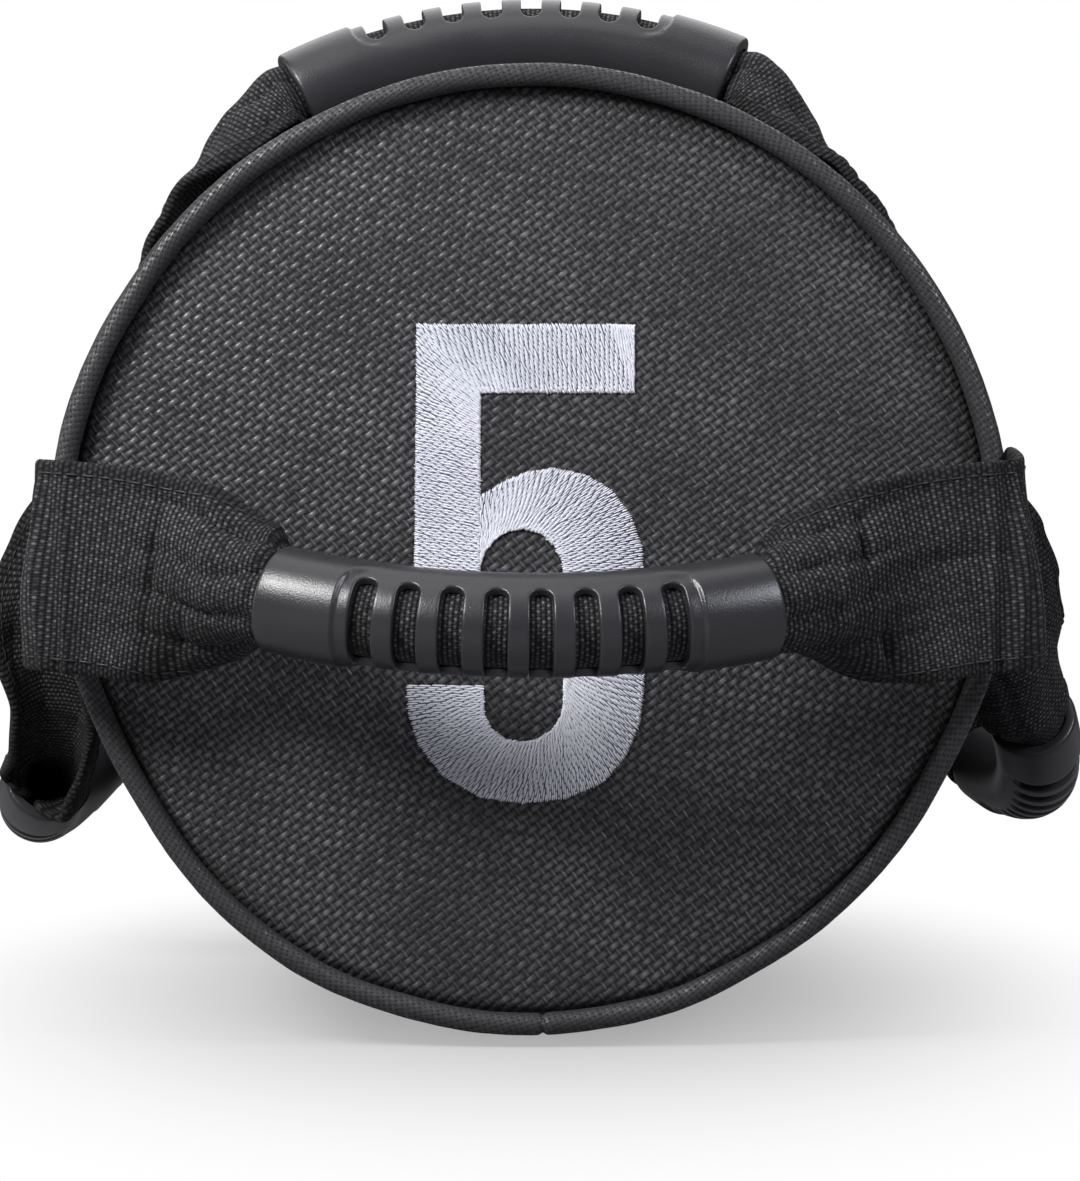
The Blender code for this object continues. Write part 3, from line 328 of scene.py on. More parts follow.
# Polyester zip tape, a fine flat twill-like weave, with painted shade in its holes and wear
# and painted glints on its crowns.
ZIP_TAPE = woven_cloth(
    "woven_zip_tape", (0.0009, 0.0009), radians(45), (0.8, 0.8), 0.3, "#09090a",
    "#1f1f21", "#1b1b1d", "#3a3a3c", 0.72, 0.12)
TEXTILE = speckled("textile_filling", "#8d877e", "#b0aba4", 0.95, 300.0, 1.2, IOR=1.45)
FOAM = speckled("polyether_foam", "#9a9a9f", "#b4b4b8", 0.95, 900.0, 0.6, IOR=1.45)
# Uncoated pouch cloth, with painted shade in its holes and wear and painted glints on its crowns.
POUCH_CLOTH = woven_cloth(
    "uncoated_pouch_cloth", (0.0011, 0.0011), 0.0, (0.8, 0.8), 0.3, "#2a2a2c",
    "#58585b", "#4f4f52", "#7b7b80", 0.8, 0.2)
SAND = speckled("dry_sand", "#c2ab84", "#a98f66", 0.95, 1800.0, 0.5, IOR=1.5)
BAND = speckled("closure_band", "#1b1b1c", "#28282a", 0.8, 1500.0, 0.2, IOR=1.5)


# Mesh making


def in_scene(name, data):
    """A new object for a mesh, a lamp or the camera."""
    made = bpy.data.objects.new(name, data)
    bpy.context.scene.collection.objects.link(made)
    return made


def skin(name, points, faces, uvs, material):
    """One closed piece; points that coincide are merged and each corner keeps its own UV."""
    mesh = bpy.data.meshes.new(name)
    mesh.from_pydata([tuple(p) for p in points], [], faces)
    layer = mesh.uv_layers.new(name="UVMap")
    flat = np.array(uvs, float)[[i for face in faces for i in face]]
    layer.data.foreach_set("uv", flat[:, :2].ravel())
    made = bmesh.new()
    made.from_mesh(mesh)
    bmesh.ops.remove_doubles(made, verts=made.verts, dist=1e-6)
    loose = [v for v in made.verts if not v.link_faces]
    bmesh.ops.delete(made, geom=loose, context="VERTS")
    bmesh.ops.recalc_face_normals(made, faces=made.faces)
    made.to_mesh(mesh)
    made.free()
    mesh.materials.append(material)
    mesh.shade_smooth()
    mesh.set_sharp_from_angle(angle=radians(50))
    return in_scene(name, mesh)


def applied(piece, modifier):
    """Makes what the modifier shows the piece's own mesh, and returns that mesh."""
    bpy.context.view_layer.update()
    mesh = bpy.data.meshes.new_from_object(
        piece.evaluated_get(bpy.context.evaluated_depsgraph_get()))
    piece.modifiers.remove(modifier)
    piece.data = mesh
    return mesh


def grid_faces(rows, columns):
    """Quads over rows of points; the rows are stored one after another."""
    return [
        (i * columns + j, i * columns + j + 1, (i + 1) * columns + j + 1, (i + 1) * columns + j)
        for i in range(rows - 1) for j in range(columns - 1)]


def capped_faces(rows, columns):
    """Quads over closed rings, each ending on its first point again, with both ends closed."""
    ring = range(columns - 1)
    last = (rows - 1) * columns
    return grid_faces(rows, columns) + [tuple(ring), tuple(last + k for k in reversed(ring))]


def around(count):
    """Angles of a full turn in equal steps, its start and its end both among them."""
    return [tau * k / count for k in range(count + 1)]


def flanked(middle, beyond):
    """The middle lines with those beyond them on the high side and, mirrored, on the low side."""
    beyond = np.array(beyond)
    return np.concatenate((-beyond[::-1], middle, beyond))


def pierced_grid(us, vs, holes):
    """Quads over the lines us and vs, with rings of quads round each hole.

    A hole is (u lines, v lines, middle, half straight, axis of the straight, steps); a step is
    (share of the way to the border, distance from the straight, depth share).
    """
    count = len(vs)
    points = [(u, v, 0.0) for u in us for v in vs]
    covered = set()
    faces = []
    for (i0, i1), (j0, j1), middle, straight, axis, steps in holes:
        covered.update((i, j) for i in range(i0, i1) for j in range(j0, j1))
        border = [i * count + j0 for i in range(i0, i1)]
        border += [i1 * count + j for j in range(j0, j1)]
        border += [i * count + j1 for i in range(i1, i0, -1)]
        border += [i0 * count + j for j in range(j1, j0, -1)]
        rings = [border]
        for outward, reach, depth in steps:
            ring = []
            for index in border:
                point = np.array(points[index][:2])
                heart = np.array(middle, float)
                heart[axis] += np.clip(point[axis] - heart[axis], -straight, straight)
                away = point - heart
                rim = heart + away / np.linalg.norm(away) * reach
                ring.append(len(points))
                points.append((*(rim + (point - rim) * outward), depth))
            rings.append(ring)
        for near, far in zip(rings, rings[1:]):
            size = len(near)
            faces += [
                (near[k], near[(k + 1) % size], far[(k + 1) % size], far[k]) for k in range(size)]
    faces += [
        (i * count + j, (i + 1) * count + j, (i + 1) * count + j + 1, i * count + j + 1)
        for i in range(len(us) - 1) for j in range(count - 1) if (i, j) not in covered]
    return points, faces


def two_walled(name, us, vs, holes, plain_holes, place, uv_scale, material):
    """A closed shell: an outer wall with shaped holes, a plain inner wall, and joined edges."""
    outer, faces = pierced_grid(us, vs, holes)
    inner, inner_faces = pierced_grid(us, vs, plain_holes)
    start = len(outer)
    faces += [tuple(start + i for i in reversed(face)) for face in inner_faces]
    columns = len(vs)
    for row in (0, len(us) - 1):
        for j in range(columns - 1):
            a, b = row * columns + j, row * columns + j + 1
            faces.append((a, b, start + b, start + a))
    points = [place(u, v, depth) for u, v, depth in outer]
    points += [place(u, v, 1.0) for u, v, depth in inner]
    uvs = [(u * uv_scale, v * uv_scale) for u, v, depth in outer + inner]
    return skin(name, points, faces, uvs, material)


def lengths_along(points):
    """How far along the line each of its points lies."""
    return np.concatenate(([0], np.cumsum(np.linalg.norm(np.diff(points, axis=0), axis=1))))


def even_path(line, count):
    """Evenly spaced points on straight lines between the given ones."""
    run = lengths_along(line)
    places = np.linspace(0, run[-1], count)
    return np.column_stack([np.interp(places, run, line[:, k]) for k in range(line.shape[1])])


def smooth_path(points, count):
    """Evenly spaced points on a cubic B-spline that starts and ends at the given ends."""
    per_span = 24
    held = np.array([points[0]] * 2 + list(points) + [points[-1]] * 2, float)
    t = np.linspace(0, 1, per_span, endpoint=False)[:, None]
    basis = ((1 - t) ** 3, 3 * t ** 3 - 6 * t ** 2 + 4, -3 * t ** 3 + 3 * t ** 2 + 3 * t + 1, t ** 3)
    spans = [
        sum(b * p for b, p in zip(basis, held[i:i + 4])) / 6 for i in range(len(held) - 3)]
    return even_path(np.vstack(spans + [held[-1:]]), count)


def unit(rows):
    return rows / np.linalg.norm(rows, axis=-1, keepdims=True)


def ease(x):
    x = np.clip(x, 0, 1)
    return x * x * (3 - 2 * x)


# Threads: every stitch and every turn of the zip's coil is one edge made into a rod


def rod_tree():
    """Each edge of the mesh becomes a rod that tapers to its ends and arches along "up"."""
    tree = bpy.data.node_groups.new("rods_on_edges", "GeometryNodeTree")
    sockets = {}
    for name, kind in (
            ("Geometry", "NodeSocketGeometry"), ("Rod radius", "NodeSocketFloat"),
            ("Arch", "NodeSocketFloat"), ("End share", "NodeSocketFloat"),
            ("Points", "NodeSocketInt"), ("Sides", "NodeSocketInt"),
            ("Material", "NodeSocketMaterial")):
        sockets[name] = tree.interface.new_socket(name, in_out="INPUT", socket_type=kind).identifier
    tree.interface.new_socket("Geometry", in_out="OUTPUT", socket_type="NodeSocketGeometry")
    given = add(tree, "NodeGroupInput").outputs
    curves = add(tree, "GeometryNodeMeshToCurve", {"Mesh": given["Geometry"]})
    cut = add(tree, "GeometryNodeResampleCurve", {"Curve": curves, "Count": given["Points"]})
    share = add(tree, "GeometryNodeSplineParameter").outputs["Factor"]
    turn = add(tree, "ShaderNodeMath", {0: share, 1: pi}, operation="MULTIPLY")
    hump = add(tree, "ShaderNodeMath", {0: turn}, operation="SINE", use_clamp=True)
    up = add(tree, "GeometryNodeInputNamedAttribute", {"Name": "up"}, data_type="FLOAT_VECTOR")
    lift = add(tree, "ShaderNodeMath", {0: hump, 1: given["Arch"]}, operation="MULTIPLY")
    offset = add(tree, "ShaderNodeVectorMath", {0: up, "Scale": lift}, operation="SCALE")
    placed = add(tree, "GeometryNodeSetPosition", {"Geometry": cut, "Offset": offset})
    fuller = add(tree, "ShaderNodeMath", {0: hump, 1: 0.45}, operation="POWER")
    size = add(tree, "ShaderNodeMapRange", {"Value": fuller, "To Min": given["End share"]})
    ring = add(tree, "GeometryNodeCurvePrimitiveCircle", {
        "Resolution": given["Sides"], "Radius": given["Rod radius"]})
    rod = add(tree, "GeometryNodeCurveToMesh", {
        "Curve": placed, "Profile Curve": ring.outputs["Curve"], "Scale": size, "Fill Caps": True})
    whole = add(tree, "GeometryNodeRealizeInstances", {"Geometry": rod})
    dressed = add(tree, "GeometryNodeSetMaterial", {
        "Geometry": whole, "Material": given["Material"]})
    add(tree, "NodeGroupOutput", {0: dressed})
    return tree, sockets


RODS, ROD_SOCKETS = rod_tree()


def rods(name, edges, material, radius, arch=0.0, end_share=0.55, points=4, sides=6):
    """One piece from a list of (start, end, up), each a rod."""
    mesh = bpy.data.meshes.new(name)
    ends = [tuple(p) for start, end, _ in edges for p in (start, end)]
    mesh.from_pydata(ends, [(2 * i, 2 * i + 1) for i in range(len(edges))], [])
    ups = mesh.attributes.new("up", "FLOAT_VECTOR", "POINT")
    ups.data.foreach_set("vector", np.repeat([tuple(e[2]) for e in edges], 2, axis=0).ravel())
    piece = in_scene(name, mesh)
    grown = piece.modifiers.new("rods", "NODES")
    grown.node_group = RODS
    for key, value in (
            ("Rod radius", radius), ("Arch", arch), ("End share", end_share),
            ("Points", points), ("Sides", sides), ("Material", material)):
        grown[ROD_SOCKETS[key]] = value
    solid = applied(piece, grown)
    solid.materials.clear()
    solid.materials.append(material)
    solid.shade_smooth()
    return piece


def stitches_along(line, normals, length=SEAM_STITCH, gap=SEAM_STITCH_GAP):
    """Even stitches on a line of points, each as (start, end, up)."""
    line = np.array(line, float)
    normals = np.array(normals, float)
    run = lengths_along(line)
    count = max(1, int((run[-1] + gap) / (length + gap)))
    pitch = (run[-1] + gap) / count
    edges = []
    for k in range(count):
        ends = []
        for place in (k * pitch, k * pitch + pitch - gap):
            ends.append([np.interp(place, run, line[:, axis]) for axis in range(3)])
        middle = (k + 0.5) * pitch
        up = [np.interp(middle, run, normals[:, axis]) for axis in range(3)]
        edges.append((ends[0], ends[1], up))
    return edges


# Bag body

PATCHES = []  # (middle y, half length, middle angle, half angle) of every sewn-down webbing end
for facing in (-1, 1):
    for side in (-1, 1):
        PATCHES.append((
            facing * (END_FOLD_Y - END_SEWN_LENGTH / 2), END_SEWN_LENGTH / 2,
            side * END_ANGLE, HALF_TURN))
        PATCHES.append((
            facing * (SIDE_FOLD_Y + SIDE_SEWN_LENGTH / 2), SIDE_SEWN_LENGTH / 2,
            side * SIDE_ANGLE, HALF_TURN))
        lean = TOP_LEAN if facing < 0 else 0.0
        PATCHES.append((
            facing * TOP_Y, WEBBING / 2, lean + side * (TOP_LOW + TOP_HIGH) / 2,
            TOP_SEWN_LENGTH / 2 / BELLY_RADIUS))


def seam_drift(angle, end):
    """How far an end seam wanders off its circle; the angle runs from the top towards +X.

    end is below zero at the front. The rear seam mirrors the front one.
    """
    seen = degrees(angle if end < 0 else -angle)
    drift = 0.0
    for place, width, amount in SEAM_WANDER:
        apart = (seen - place + 180) % 360 - 180
        drift += amount * exp(-(apart / width) ** 2)
    return drift


def slack_share(y, angle):
    """1 where the cloth is free to wrinkle, 0 where webbing, grip or zip holds it."""
    share = 1.0
    for middle, half, turn, half_angle in PATCHES:
        apart = (angle - turn + pi) % tau - pi
        gap_y = max(0.0, abs(y - middle) - half)
        gap_a = max(0.0, abs(apart) - half_angle) * BELLY_RADIUS
        share *= float(ease(hypot(gap_y, gap_a) / HELD_BY_WEBBING))
    from_top = abs((angle + pi) % tau - pi) * BELLY_RADIUS
    for along, (half, half_width, fade) in ((abs(abs(y) - TOP_Y), GRIP_BED), (abs(y), ZIP_BED)):
        gap_y = max(0.0, along - half)
        gap_a = max(0.0, from_top - half_width)
        share *= float(ease(hypot(gap_y, gap_a) / fade))
    return share


def barrel_radius(y, angle):
    """The barrel bulges between its seams, most of all on its underside."""
    swell = 1 - min(1, abs(y) / HALF_LENGTH) ** 3
    sag = ((1 - cos(angle)) / 2) ** 4
    near_seam = exp(-(HALF_LENGTH - min(abs(y), HALF_LENGTH)) / SEAM_REACH)
    wander = seam_drift(angle, y) * near_seam
    return SEAM_RADIUS + swell * (BELLY + UNDERSIDE_SAG * sag) + wander


def round_bag(radius, angle, y):
    """A point at that radius from the bag's axis; the angle runs from the top towards +X."""
    return Vector((radius * sin(angle), y, AXIS_HEIGHT + radius * cos(angle)))


def barrel_place(y, angle, lift=0.0):
    """A point over the barrel where webbing lies; the floor keeps the underside flat."""
    point = round_bag(barrel_radius(y, angle) + lift, angle, y)
    point.z = max(point.z, -min(lift, 0))
    return point


def barrel_wrinkle(y, angle):
    """Outward folds of the free cloth: broad slack, creases on the bias, puckers at the seams.

    The figures that multiply a place set how often its noise turns over in a metre.
    """
    free = slack_share(y, angle)
    spot = Vector((BELLY_RADIUS * sin(angle), y, BELLY_RADIUS * cos(angle)))
    broad = max(0.0, 0.35 + noise.noise(spot * 17)) * SLACK_RISE
    bias = noise.noise(Vector((y * 30 + 3.4 * sin(angle), y * 14 - 3.4 * cos(angle), 4.0)))
    crease = max(0.0, 1 - abs(bias) * 7) * CREASE_RISE
    from_seam = HALF_LENGTH - min(abs(y), HALF_LENGTH)
    gather = (1 + sin(PUCKERS * angle + 4 * noise.noise(spot * 30))) / 2
    pucker = gather * PUCKER_RISE * exp(-from_seam / PUCKER_REACH) * (1 - exp(-from_seam / 0.003))
    settle = 1 - exp(-from_seam / 0.010)
    return (broad + crease) * free * settle + pucker * max(free, 0.25)


SEAM_TURN = pi - BARREL_SEAM_X / (SEAM_RADIUS + UNDERSIDE_SAG)


def barrel_point(y, angle, depth):
    """The barrel cloth's outside at depth 0 and inside at depth 1."""
    from_seam = abs((angle - SEAM_TURN + pi) % tau - pi) * SEAM_RADIUS
    groove = -GROOVE * exp(-(from_seam / GROOVE) ** 2)
    lap = LAP_RISE * exp(-((from_seam - LAP_MIDDLE) / LAP_WIDTH) ** 2)
    lift = barrel_wrinkle(y, angle) + groove + lap
    point = round_bag(barrel_radius(y, angle) + lift - depth * CLOTH, angle, y)
    point.z = max(point.z, depth * CLOTH)
    return point


def barrel_cloth():
    """The tube of coated cloth, with the zip's slit along the top."""
    # The slit is cut into a field of the grid, between these lines and as far round the top.
    edge, inner_edge = 0.142, 0.134
    field_angle = radians(9)
    near_seam = 0.236  # from here on the lines lie closer, for the puckers
    field = np.concatenate(([-edge], np.linspace(-inner_edge, inner_edge, 81), [edge]))
    outside = (np.linspace(edge, near_seam, 34)[1:], np.linspace(near_seam, HALF_LENGTH, 16)[1:])
    ys = flanked(field, np.concatenate(outside))
    columns = 14
    top = np.linspace(-field_angle, field_angle, columns + 1)
    seam = SEAM_TURN + flanked([0], (0.4, 0.9, 1.5, 2.4, 3.6, 5, 7)) / 1000 / SEAM_RADIUS
    rest = np.linspace(field_angle, tau - field_angle, 231)[1:]
    rest = [a for a in rest if np.min(np.abs(seam - a)) > 0.006]
    angles = np.concatenate((top, np.sort(np.concatenate((rest, seam)))))
    first = int(np.argmin(np.abs(ys + edge)))
    last = int(np.argmin(np.abs(ys - edge)))
    across = SLIT_HALF_WIDTH / BELLY_RADIUS
    straight = (SLIT_HALF - SLIT_HALF_WIDTH) / BELLY_RADIUS
    steps = [(share, across, 0) for share in (0.6, 0.25, 0.06, 0)]

    def hole(steps):
        return [((first, last), (0, columns), (0.0, 0.0), straight, 0, steps)]

    def place(u, v, depth):
        return barrel_point(u * BELLY_RADIUS, v, depth)

    # Lengths along the bag are given as angles, so that the slit's ends are round.
    made = two_walled(
        "barrel_cloth", ys / BELLY_RADIUS, angles, hole(steps + [(0, across, 1)]), hole(steps),
        place, BELLY_RADIUS, COATED)
    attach(made, "bag")
    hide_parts("barrel_panel")


def panel_height(radius, x, z):
    """How far the end panel's face stands out past the seam."""
    tuck, tuck_reach, softness = 0.0020, 0.0016, 0.0010
    share = radius / PANEL_RIM
    dome = PANEL_DOME * (1 - share ** 2)
    tucked = -tuck * exp(-((PANEL_RIM - radius) / tuck_reach) ** 2)
    soft = softness * noise.noise(Vector((x * 14, z * 14, 7.0))) * (1 - share ** 4)
    return dome + tucked + soft


def panel_point(x, z, facing, depth):
    """A point of the end panel at x and z from the bag's axis."""
    radius = hypot(x, z)
    angle = atan2(x, z)
    y = HALF_LENGTH + panel_height(radius, x, z) - depth * CLOTH
    wander = seam_drift(angle, facing) * (radius / SEAM_RADIUS) ** 6
    grow = 1 + wander / SEAM_RADIUS
    return Vector((x * grow, facing * y, AXIS_HEIGHT + z * grow))


def end_panel(name, facing):
    """The round end of the bag, finer towards its seam, where it is tucked in."""
    flat_to, soft_to = 0.096, 0.107
    radii = np.concatenate((
        np.linspace(0.004, flat_to, 24), np.linspace(flat_to, soft_to, 7)[1:],
        np.linspace(soft_to, PANEL_RIM, 9)[1:]))
    sides = 180
    points, uvs = [], []
    for depth in (0, 1):
        for radius in radii:
            for angle in around(sides):
                x, z = radius * sin(angle), radius * cos(angle)
                points.append(panel_point(x, z, facing, depth))
                uvs.append((x, z))
    wide = sides + 1
    inner = len(radii) * wide
    last = inner - wide
    faces = grid_faces(len(radii), wide)
    faces += [tuple(inner + i for i in reversed(face)) for face in faces]
    faces += [
        (last + k, last + k + 1, inner + last + k + 1, inner + last + k) for k in range(sides)]
    faces += [tuple(range(sides)), tuple(inner + k for k in reversed(range(sides)))]
    made = skin(name, points, faces, uvs, COATED)
    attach(made, "bag")
    return made


def piping(name, facing):
    """Cord covered in bias-cut cloth; it wanders with the seam and joins at the bottom."""
    turns = 16
    join_dip = 0.0006 if facing < 0 else 0.0
    join_reach = 0.0006
    join = SEAM_TURN + flanked([0.0001], (0.4, 0.9, 1.6)) / 1000 / SEAM_RADIUS
    points, uvs = [], []
    angles = np.sort(np.concatenate((np.linspace(0, tau, 361), join)))
    for angle in angles:
        spot = Vector((sin(angle), facing * 3.0, cos(angle)))
        from_join = abs(angle - SEAM_TURN) * SEAM_RADIUS
        cord = PIPING_RADIUS * (1 + 0.05 * noise.noise(spot * 9) + 0.03 * noise.noise(spot * 31))
        cord -= join_dip * exp(-(from_join / join_reach) ** 2)
        centre = PIPING_CENTRE_RADIUS + seam_drift(angle, facing) + 0.0004 * noise.noise(spot * 5)
        for turn in around(turns):
            y = facing * (PIPING_CENTRE_Y + cord * sin(turn))
            points.append(round_bag(centre + cord * cos(turn), angle, y))
            uvs.append((PIPING_RADIUS * turn, SEAM_RADIUS * angle))
    made = skin(name, points, grid_faces(len(angles), turns + 1), uvs, PIPING_CLOTH)
    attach(made, "bag")
    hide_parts(name.replace("_cord", ""))


# Number: rows of pale stitches laid across each stroke, whose two edges are in millimetres

NUMBER_STROKES = (
    (  # the top bar, its corner and the stem; the stitches lean, so both ends are wedges
        ((24.6, 52.6), (18.8, 52.8), (-8, 52.8), (-27.7, 52.8), (-27.9, 30), (-28.4, -13),
         (-28.4, -17)),
        ((24.6, 52.5), (24.6, 36.2), (-1, 36.2), (-12.3, 36.2), (-12.3, 24), (-12.3, -16.9),
         (-12.3, -17)),
    ),
    (  # the bowl, from the stem round to its open end
        ((-12.3, 11.6), (-7, 15), (-1.2, 17.4), (4.8, 18.4), (12.8, 16.8), (19.3, 13), (24.1, 6.5),
         (26.5, -1), (27, -9), (27, -22), (27, -35.1), (26, -43), (22.6, -51), (17.1, -57.3),
         (8.2, -61.2), (-2.2, -62.3), (-12.5, -60.9), (-21.4, -55.8), (-27.4, -48.1),
         (-29.8, -40.4), (-30.1, -33.9)),
        ((-12.3, -5), (-11.5, -2.2), (-9.1, 1), (-6, 2.9), (-2.2, 3.6), (2.2, 2.4), (5.3, -0.5),
         (7, -3.9), (7.5, -7.5), (7.5, -22), (7.5, -37.5), (7, -41.2), (4.8, -44.5), (1.4, -46.7),
         (-2.4, -47.4), (-6.3, -46.7), (-9.4, -44.5), (-11.3, -40.9), (-11.6, -34.2)),
    ),
)
ROW_SPACING = 0.00043
FILL_STITCH = 0.0033
NEEDLE_GAP = 0.00028  # between the end of one stitch and the start of the next
STROKE_STEP = 0.0001  # the second stroke lies this much higher than the first


def row_count(outer, inner):
    """How many rows of stitches fit along two facing edges."""
    length = sum(
        hypot(b[0] - a[0], b[1] - a[1]) for edge in (outer, inner) for a, b in zip(edge, edge[1:]))
    mean = length / 2000  # of the two edges, in metres
    return max(1, round(mean / ROW_SPACING))


def matched_edges(outer, inner):
    """A stroke's two edges in metres, cut so that equal rows face each other across it."""
    if len(outer) != len(inner):
        count = row_count(outer, inner)
        return [even_path(np.array(edge, float) / 1000, count) for edge in (outer, inner)]
    edges = [], []
    for k in range(len(outer) - 1):
        count = row_count(outer[k:k + 2], inner[k:k + 2])
        for row in range(count):
            share = row / count
            for cut, edge in zip(edges, (outer, inner)):
                cut.append([(a + (b - a) * share) / 1000 for a, b in zip(edge[k], edge[k + 1])])
    return [np.array(cut) for cut in edges]


def on_panel(x, z, lift):
    """A place on the front panel, lifted towards the camera."""
    point = panel_point(x, z, -1, 0)
    return (point.x, point.y - lift, point.z)


def number_stitches():
    """Fill stitches, each a little off its place, laid like bricks from row to row."""
    shortest, brick = 0.0008, 0.381
    cut_spread, end_spread, row_spread, lift_spread = 0.00012, 0.00016, 0.00006, 0.00012
    shake = np.random.default_rng(5)
    edges = []
    for stroke, (outer, inner) in enumerate(NUMBER_STROKES):
        far, near = matched_edges(outer, inner)
        backing = 0.00022 + STROKE_STEP * stroke
        for row, (p, q) in enumerate(zip(far, near)):
            length = float(np.linalg.norm(q - p))
            cuts = [0.0]
            place = (row * brick) % 1.0 * FILL_STITCH
            while place < length - shortest:
                if place > shortest:
                    cuts.append(place + shake.normal(0, cut_spread))
                place += FILL_STITCH
            cuts.append(length)
            way = (q - p) / length
            cuts[0] -= abs(shake.normal(0, end_spread))
            cuts[-1] += abs(shake.normal(0, end_spread))
            for a, b in zip(cuts, cuts[1:]):
                side = np.array((way[1], -way[0])) * shake.normal(0, row_spread)
                ends = [p + way * along + side for along in (a + NEEDLE_GAP / 2, b - NEEDLE_GAP / 2)]
                lift = backing + shake.uniform(0, lift_spread)
                edges.append((on_panel(*ends[0], lift), on_panel(*ends[1], lift), (0, -1, 0)))
    return rods(
        "number_stitches", edges, PALE_THREAD, 0.00023, arch=0.00022, end_share=0.45, points=5,
        sides=5)


def number_underlay():
    """A thin felt under each stroke, set in from its edges and thinner along them."""
    every, columns = 6, 9
    low = 0.0001
    wide = 2 * columns
    points, faces, uvs = [], [], []
    for stroke, (outer, inner) in enumerate(NUMBER_STROKES):
        far, near = [edge[::every] for edge in matched_edges(outer, inner)]
        base = len(points)
        for p, q in zip(far, near):
            inset = (q - p) * 0.02
            for lift in (low, 0.0003 + STROKE_STEP * stroke):
                for share in np.linspace(0, 1, columns):
                    place = p + inset + (q - p - 2 * inset) * share
                    points.append(on_panel(*place, lift if 0 < share < 1 else low + lift / 3))
                    uvs.append(place)
        for i in range(len(far) - 1):
            a, b = base + i * wide, base + (i + 1) * wide
            for j in range(columns - 1):
                faces.append((a + j, a + j + 1, b + j + 1, b + j))
                c, d = a + j + columns, b + j + columns
                faces.append((c, d, d + 1, c + 1))
            for j, flip in ((0, 1), (columns - 1, -1)):
                faces.append((a + j, b + j, b + j + columns, a + j + columns)[::flip])
        for row in (base, base + (len(far) - 1) * wide):
            faces.append((*range(row, row + columns), *reversed(range(row + columns, row + wide))))
    return skin("number_underlay", points, faces, uvs, UNDERLAY_PAINTED_SHADE)


def embroidered_number():
    for piece in (number_stitches(), number_underlay()):
        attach(piece, "bag")


# Moulded grips


def grip_outer(u, v):
    """Distance of the outer face from the grip's bent centre line."""
    corner = RECESS_CORNER
    past_u = abs(u) - (RECESS_HALF - corner)
    past_v = abs(v) - (RECESS_ROUND - corner)
    outside = hypot(max(past_u, 0), max(past_v, 0)) + min(max(past_u, past_v), 0) - corner
    beside = float(
        ease((abs(v) - RECESS_ROUND * 0.6) / 0.006) * ease((RECESS_HALF - 0.002 - abs(u)) / 0.008))
    width = RECESS_STEP + RECESS_TAPER * beside
    radius = SLOTTED + (COLLAR - SLOTTED) * float(ease(outside / width + 0.5))
    past_end = abs(u) - (GRIP_REACH - END_ROUND)
    if past_end > 0:
        radius -= END_ROUND - sqrt(max(0.0, END_ROUND ** 2 - past_end ** 2))
    return radius


def grip_place(u, v, depth):
    """Local frame: X from tip to tip, Z the bowed side, the tips' centres at Z = 0."""
    bend = u / (CURVE + SLOTTED)
    angle = v / SLOTTED
    radius = grip_outer(u, v)
    radius += (BORE - radius) * depth
    reach = CURVE + radius * cos(angle)
    return Vector((
        reach * sin(bend), radius * sin(angle), reach * cos(bend) - CURVE * cos(GRIP_HALF)))


def grip_mesh():
    """The bowed sleeve with rounded slots through a sunken panel."""
    per_slot, columns = 8, 30
    half_slots = SLOT_PITCH * SLOT_COUNT / 2
    half_panel = 0.0165
    # Past the slots the lines lie closest over the recess's rim and the rounded ends.
    beyond = [
        0.04285, 0.0431, 0.04335, 0.0436, 0.04385, 0.0441, 0.04435, 0.0447, 0.0453, 0.0465, 0.049,
        0.052, 0.055, 0.058, 0.0605]
    beyond += [GRIP_REACH - END_ROUND * (1 - s) for s in (0.0, 0.25, 0.5, 0.7, 0.85, 0.95, 1.0)]
    beside = (
        0.0168, 0.0171, 0.0173, 0.0175, 0.0177, 0.0179, 0.0181, 0.0184, 0.0188, 0.0193, 0.0199,
        0.0207, 0.0217, 0.0230, 0.025, 0.0275, 0.030, 0.0325, 0.035, pi * SLOTTED)
    us = flanked(np.linspace(-half_slots, half_slots, per_slot * SLOT_COUNT + 1), beyond)
    vs = flanked(np.linspace(-half_panel, half_panel, columns + 1), beside)
    plain = [(share, SLOT_RADIUS, 0) for share in (0.55, 0.2, 0)]
    shaped = [(share, SLOT_RADIUS + SLOT_LIP, 0) for share in (0.55, 0.2)]
    for t in np.linspace(0, pi / 2, 5):
        fall = SLOT_LIP * (1 - cos(t)) / (SLOTTED - BORE)
        shaped.append((0, SLOT_RADIUS + SLOT_LIP * (1 - sin(t)), fall))
    shaped.append((0, SLOT_RADIUS, 1))

    def holes(steps):
        made = []
        for k in range(SLOT_COUNT):
            first = len(beyond) + per_slot * k
            middle = ((k - (SLOT_COUNT - 1) / 2) * SLOT_PITCH, 0.0)
            made.append((
                (first, first + per_slot), (len(beside), len(beside) + columns), middle,
                SLOT_STRAIGHT, 1, steps))
        return made

    return two_walled(
        "grip_master", us, vs, holes(shaped), holes(plain), grip_place, 1, GRIP_RUBBER)


class Bow:
    """Where a handle's grip rests: the middle of its tips, its chord and its bowed side."""

    def __init__(self, middle, chord, bowed):
        self.middle = Vector(middle)
        self.chord = Vector(chord).normalized()
        self.bowed = Vector(bowed)
        self.bowed -= self.chord * self.bowed.dot(self.chord)
        self.bowed.normalize()
        self.across = self.bowed.cross(self.chord)

    def matrix(self):
        turn = Matrix((self.chord, self.across, self.bowed)).transposed().to_4x4()
        return Matrix.Translation(self.middle) @ turn

    def out(self, bend):
        return self.chord * sin(bend) + self.bowed * cos(bend)

    def place(self, bend, radius=0.0):
        """A point above the grip's centre line on its bowed side."""
        return self.middle - self.bowed * (CURVE * cos(GRIP_HALF)) + self.out(bend) * (CURVE + radius)


# Webbing


